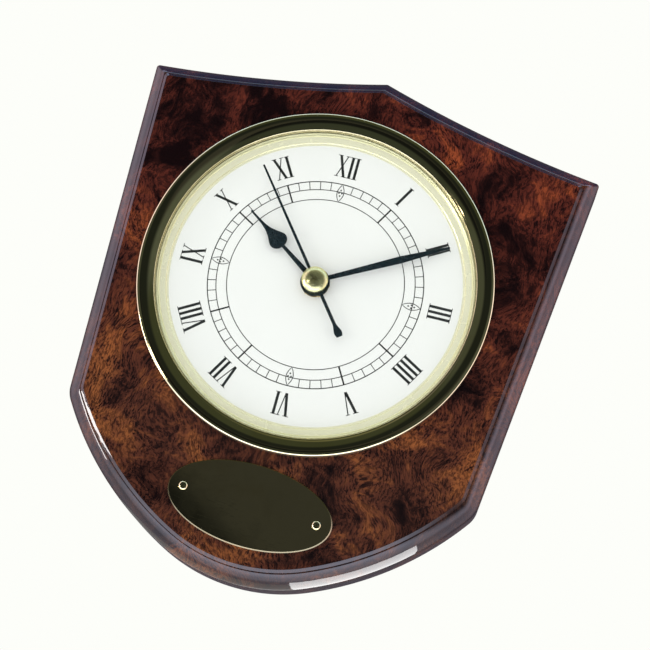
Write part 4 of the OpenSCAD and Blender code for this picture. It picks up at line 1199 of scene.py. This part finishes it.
@dataclass
class Hands:
    """The three hands and the domed cap, with a slight crown across each hand."""

    paint: Paintbox
    hour_angle: float = 304.9
    minute_angle: float = 61.3
    second_angle: float = 322.3
    hour_low: float = 2.0
    minute_low: float = 2.9
    second_low: float = 3.7
    thick: float = 0.35
    shoulder: float = 0.62
    cap_r: float = 4.8
    cap_side: float = 1.3
    cap_dome: float = 2.3
    cap_ease: float = 0.1

    def blade(self, stations: Profile, low: float) -> Part:
        """Blade along y: at each station a section with upright edges and a crowned top.

        Args:
            stations: points of (place along the hand, half width).
            low: height of the underside.

        Returns:
            Dial points and faces.
        """
        across = np.array([-1, -1, -0.6, 0, 0.6, 1, 1])
        up = np.array([0, self.shoulder, 0.9, 1.0, 0.9, self.shoulder, 0]) * self.thick
        s = np.array(stations)
        grid = np.stack([s[:, 1:] * across, s[:, :1] + 0 * across, low + up + 0 * s[:, :1]], -1)
        return grid.reshape(-1, 3), tube_faces(len(s), len(across))

    def boss(self, r: float, bore: float, low: float) -> Part:
        """Round boss with an eased upper edge and a bore.

        Args:
            r: its radius.
            bore: radius of the bore.
            low: height of the underside.

        Returns:
            Dial points and faces.
        """
        t, steps = self.thick, 96
        section = [(bore, 0.0), (r, 0.0), (r, self.shoulder * t), (0.93 * r, 0.9 * t), (0.7 * r, t), (bore, t)]
        points = turned_points(section, steps).reshape(-1, 3) + [0, 0, low]
        return points, grid_faces(steps, len(section), True, True).tolist()

    def add(self, node: str, parts: list[Part], angle: float, body: str) -> None:
        """Joins the parts of a hand, turns it to its angle and adds it.

        Args:
            node: the node that it stands for.
            parts: points and faces of each part.
            angle: angle clockwise from twelve.
            body: the body that turns it.
        """
        points, faces = joined(parts)
        mesh = clean_mesh(node + "_finished", LAYOUT.on_dial(spun(points, -angle)), faces, 40)
        add_piece(node + "_finished", mesh, body, self.paint["hand_enamel"], (node,))

    def hour(self) -> None:
        """Adds the spade hand: a stem, then a full bulb whose sides run in to a long tip."""
        low = self.hour_low
        stem = self.blade([(3.0, 1.05), (18.4, 0.6)], low)
        base = [(18.1, 0.9), (18.35, 1.75), (18.8, 2.45), (19.4, 3.0), (20.1, 3.36), (20.8, 3.5)]
        bulb = [(21.6, 3.38), (22.5, 3.0), (23.5, 2.46), (24.5, 1.93), (25.5, 1.48)]
        tip = [(26.6, 1.09), (27.8, 0.81), (29.0, 0.63), (30.5, 0.51), (32.5, 0.44), (36.2, 0.36)]
        spade = self.blade([*base, *bulb, *tip], low)
        self.add("hour_hand", [stem, spade, self.boss(5.4, 2.52, low)], self.hour_angle, "hour_group")

    def minute(self) -> None:
        """Adds the lance hand: sides that widen to two thirds of its length, then narrow."""
        low = self.minute_low
        lance = self.blade([(1.9, 0.8), (3.6, 0.8), (32.0, 1.36), (50.0, 0.45), (50.4, 0.3)], low)
        self.add("minute_hand", [lance, self.boss(3.6, 1.52, low)], self.minute_angle, "minute_group")

    def second(self) -> None:
        """Adds the thin sweep hand with a paddle on its tail."""
        low = self.second_low
        tail = self.blade([(-23, 1.05), (-22, 1.4), (-21, 1.45), (-18.6, 0.74), (-18, 0.62), (-0.7, 0.6)], low)
        needle = self.blade([(0.7, 0.6), (30.0, 0.46), (48.6, 0.36)], low)
        self.add("second_hand", [tail, needle, self.boss(2.2, 0.52, low)], self.second_angle, "second_group")

    def cap(self) -> None:
        """Adds the domed cap: straight side, an eased shoulder and a cut of a sphere."""
        base, ease, r = self.second_low + self.thick, self.cap_ease, self.cap_r
        ball = (r**2 + self.cap_dome**2) / (2 * self.cap_dome)
        out = r * np.cos(np.linspace(0.0, math.pi / 2, 26)[1:])
        top = base + self.cap_side + self.cap_dome - ball + np.sqrt(ball**2 - out**2)
        side = [(0.0, base), (r - ease, base), (r, base + ease), (r, base + self.cap_side - ease)]
        mesh = turned_mesh("centre_cap_finished", [*side, *zip(out, top)], 160, False, 60)
        add_piece("centre_cap_finished", mesh, "second_group", self.paint["cap_brass"], ("centre_cap",))

    def build(self) -> None:
        """Adds the hands and the cap, each on the body that turns it."""
        for make in (self.hour, self.minute, self.second, self.cap):
            make()


@dataclass
class CarriedOver:
    """Nodes whose shape is right: each is copied, merged and shaded smooth, or only dressed."""

    paint: Paintbox
    crease: float = 25.0
    smooth: tuple[str, ...] = (
        "insert_cup", "retaining_ring", "grip_ring", "glass_gasket", "front_case", "back_cover", "case_screws",
        "battery", "setting_knob", "hanger_plate", "hanger_screws", "bush_nut", "bush_washer", "threaded_bush",
        "rubber_washer", "positive_contact", "negative_contact",
    )

    def copy_smooth(self, node: str, slot: str) -> None:
        """Stands a merged, smooth-shaded copy of a node in its place.

        Args:
            node: the node.
            slot: its material slot.
        """
        source = frame["nodes"][node]
        mesh = source.data.copy()
        mesh.name = node + "_finished"
        bm = bmesh.new()
        bm.from_mesh(mesh)
        bmesh.ops.remove_doubles(bm, verts=bm.verts, dist=1e-6)
        bm.to_mesh(mesh)
        bm.free()
        mesh.materials.clear()
        if "custom_normal" in mesh.attributes:
            mesh.attributes.remove(mesh.attributes["custom_normal"])
        mesh.shade_smooth()
        mesh.set_sharp_from_angle(angle=math.radians(self.crease))
        add_piece(node + "_finished", mesh, source["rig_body"], self.paint[slot], (node,))

    def build(self) -> None:
        """Dresses every node that no finished piece stands for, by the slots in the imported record."""
        slots = {row["node"]: row["material_slot"] for row in frame["record"].get("subparts", [])}
        for node, obj in frame["nodes"].items():
            slot = slots.get(node)
            if obj.hide_render:
                continue
            if slot not in self.paint.made:
                LOG.warning("node %s has no known slot: %s", node, slot)
            elif node in self.smooth:
                self.copy_smooth(node, slot)
            else:
                obj.data.materials.clear()
                obj.data.materials.append(self.paint[slot])
                LOG.info("node %s dressed as %s", node, slot)


@dataclass(frozen=True)
class Lamp:
    """Soft rectangular lamp: its place and aim in metres, its size, power in watts and colour."""

    name: str
    place: Colour
    look: Colour
    size: Point
    power: float
    colour: Colour = (1.0, 1.0, 1.0)

    def add(self) -> None:
        """Hangs the lamp in its place and turns it to its aim."""
        data = bpy.data.lights.new(self.name, "AREA")
        data.shape, data.size, data.size_y = "RECTANGLE", *self.size
        data.energy, data.color = self.power, self.colour
        aim = (Vector(self.look) - Vector(self.place)).to_track_quat("-Z", "Y")
        put_in_scene(self.name, data).matrix_world = Matrix.Translation(self.place) @ aim.to_matrix().to_4x4()


LAMPS = (
    Lamp("left_low", (-0.70, -0.19, -0.38), (0, 0, -0.12), (0.05, 0.34), 0.9, (1.0, 0.96, 0.93)),
    Lamp("left_front", (-0.72, -0.72, -0.385), (-0.04, 0, -0.11), (0.1, 0.2), 0.6, (1.0, 0.95, 0.85)),
    Lamp("under", (0.235, 0.15, -0.42), (0.235, 0.15, 0.0), (0.28, 0.32), 2.4),
)


@dataclass
class Studio:
    """Camera, surroundings and a pale floor. The camera's place and axes are (right, up, out) on the dial."""

    lens: float = 95.06
    sensor: float = 36.0
    position: Colour = (72.3, -172.8, 597.1)
    right: Colour = (0.9659, 0.2564, -0.0369)
    down: Colour = (0.2371, -0.9322, -0.2733)
    forward: Colour = (-0.1045, 0.2553, -0.9612)
    floor_z: float = -0.45
    floor_r: float = 0.45
    floor_back: float = 0.47
    floor_drop: float = 0.02
    backdrop: Colour = (0.982, 0.99, 0.95)
    soft_light: Colour = (1.22, 1.225, 1.205)

    def dial_to_row(self, vector: Colour) -> Vector:
        """Turns a direction from the dial's axes into the row frame."""
        x, y, out = spun(np.array(vector), LAYOUT.insert_turn)
        return Vector((x, -out, y))

    def camera(self) -> None:
        """Sets the camera where the photograph was taken from."""
        data = bpy.data.cameras.new("photo_camera")
        data.lens, data.sensor_width = self.lens, self.sensor
        data.clip_start, data.clip_end = 0.01, 50.0
        axes = [self.dial_to_row(self.right), -self.dial_to_row(self.down), -self.dial_to_row(self.forward)]
        turn = Matrix(axes).transposed().to_quaternion().to_matrix().to_4x4()
        centre = Vector(LAYOUT.on_dial(np.zeros(3)))
        obj = put_in_scene("photo_camera", data)
        obj.matrix_world = Matrix.Translation((centre + self.dial_to_row(self.position)) * MM) @ turn
        bpy.context.scene.camera = obj

    def surroundings(self) -> None:
        """Pale backdrop to the eye, and darker in front for what the metal and lacquer mirror."""
        world = bpy.data.worlds.new("studio")
        bpy.context.scene.world = world
        world.use_nodes = True
        tree = Tree(world.node_tree)
        way = tree.node("SeparateXYZ", None, Vector=tree.node("TexCoord").outputs["Generated"]).outputs
        up, level, side = way["Z"], way["Y"], way["X"]

        def layered(colour: object, *layers: tuple[object, float, float, object]) -> object:
            """Lays soft-edged colours over one another.

            Args:
                colour: the first colour.
                layers: what goes over it: direction, where it starts, where it is full, and its colour.

            Returns:
                The result's socket.
            """
            for axis, start, full, over in layers:
                colour = tree.mix(tree.ramp(axis, start, full), colour, over)
            return colour

        slant = tree.maths("MULTIPLY_ADD", side, 0.6, up)
        top = layered((0.62, 0.60, 0.36), (level, -0.26, -0.08, (1.8, 2.4, 3.7)))
        near = layered(
            (1.8, 1.5, 1.9),
            (side, -0.9, 0.9, (2.2, 1.9, 2.3)),
            (up, 0.45, 0.8, top),
            (up, -0.1, -0.7, (1.6, 1.6, 1.9)),
        )
        far = layered((1.2, 1.05, 1.25), (up, 0.4, 0.7, (0.11, 0.13, 0.28)), (up, -0.2, -0.8, (0.7, 0.68, 0.78)))
        ring = layered(near, (level, -0.12, 0.05, far), (level, 0.25, 0.75, (0.10, 0.09, 0.11)))
        front = layered(
            (0.036, 0.037, 0.034),
            (slant, 0.046, 0.034, (0.008, 0.009, 0.009)),
            (up, 0.17, 0.24, (0.014, 0.017, 0.015)),
            (side, 0.2, 0.55, (0.085, 0.100, 0.088)),
            (side, -0.38, -0.60, (0.062, 0.072, 0.058)),
            (up, -0.12, -0.30, (0.036, 0.044, 0.036)),
            (up, 0.40, 0.56, (0.044, 0.052, 0.032)),
        )
        below = tree.maths("MULTIPLY", tree.ramp(up, -0.40, -0.70), tree.ramp(level, -0.66, -0.52))
        front = tree.mix(below, front, (3.0, 3.1, 3.8))
        around = layered(front, (level, -0.50, -0.10, ring))
        path = tree.node("LightPath").outputs
        seen = tree.mix(path["Is Camera Ray"], around, self.backdrop)
        soft = tree.mix(path["Is Diffuse Ray"], seen, self.soft_light)
        back = tree.node("Background", None, Color=soft, Strength=1.0)
        tree.node("OutputWorld", None, Surface=back.outputs[0])

    def floor(self) -> None:
        """Pale round floor below the clock, with its rim turned down by drop (r / R)^8."""
        r, a = self.floor_r * np.linspace(0, 1, 24), round_angles(48)
        height = self.floor_z - self.floor_drop * (r / self.floor_r) ** 8 + 0 * a
        grid = np.stack([r * np.cos(a), r * np.sin(a) + self.floor_back, height], -1)
        mesh = clean_mesh("studio_floor", grid / MM, grid_faces(len(a), len(r), True, False).tolist())
        material, tree, shader = start_material("studio_floor", Roughness=0.8)
        tone = tree.noise(tree.where(), 3.0, 3.0)
        tree.put(shader, Base_Color=tree.mix(tone, (0.80, 0.80, 0.78), (0.84, 0.84, 0.82)))
        mesh.materials.append(material)
        put_in_scene("studio_floor", mesh)

    def build(self) -> None:
        """Sets up everything that isn't the clock."""
        self.camera()
        self.surroundings()
        self.floor()
        for lamp in LAMPS:
            lamp.add()
        bpy.context.scene.view_settings.view_transform = "Standard"


def main() -> None:
    """Builds the studio, the finished pieces and the materials of the carried-over nodes."""
    logging.basicConfig(level=logging.INFO, format="%(message)s")
    paint = Paintbox()
    Studio().build()
    ShieldBoard(paint).build()
    NamePlate(paint).build()
    Insert(paint).build()
    Hands(paint).build()
    CarriedOver(paint).build()


if __name__ == "__main__":
    main()
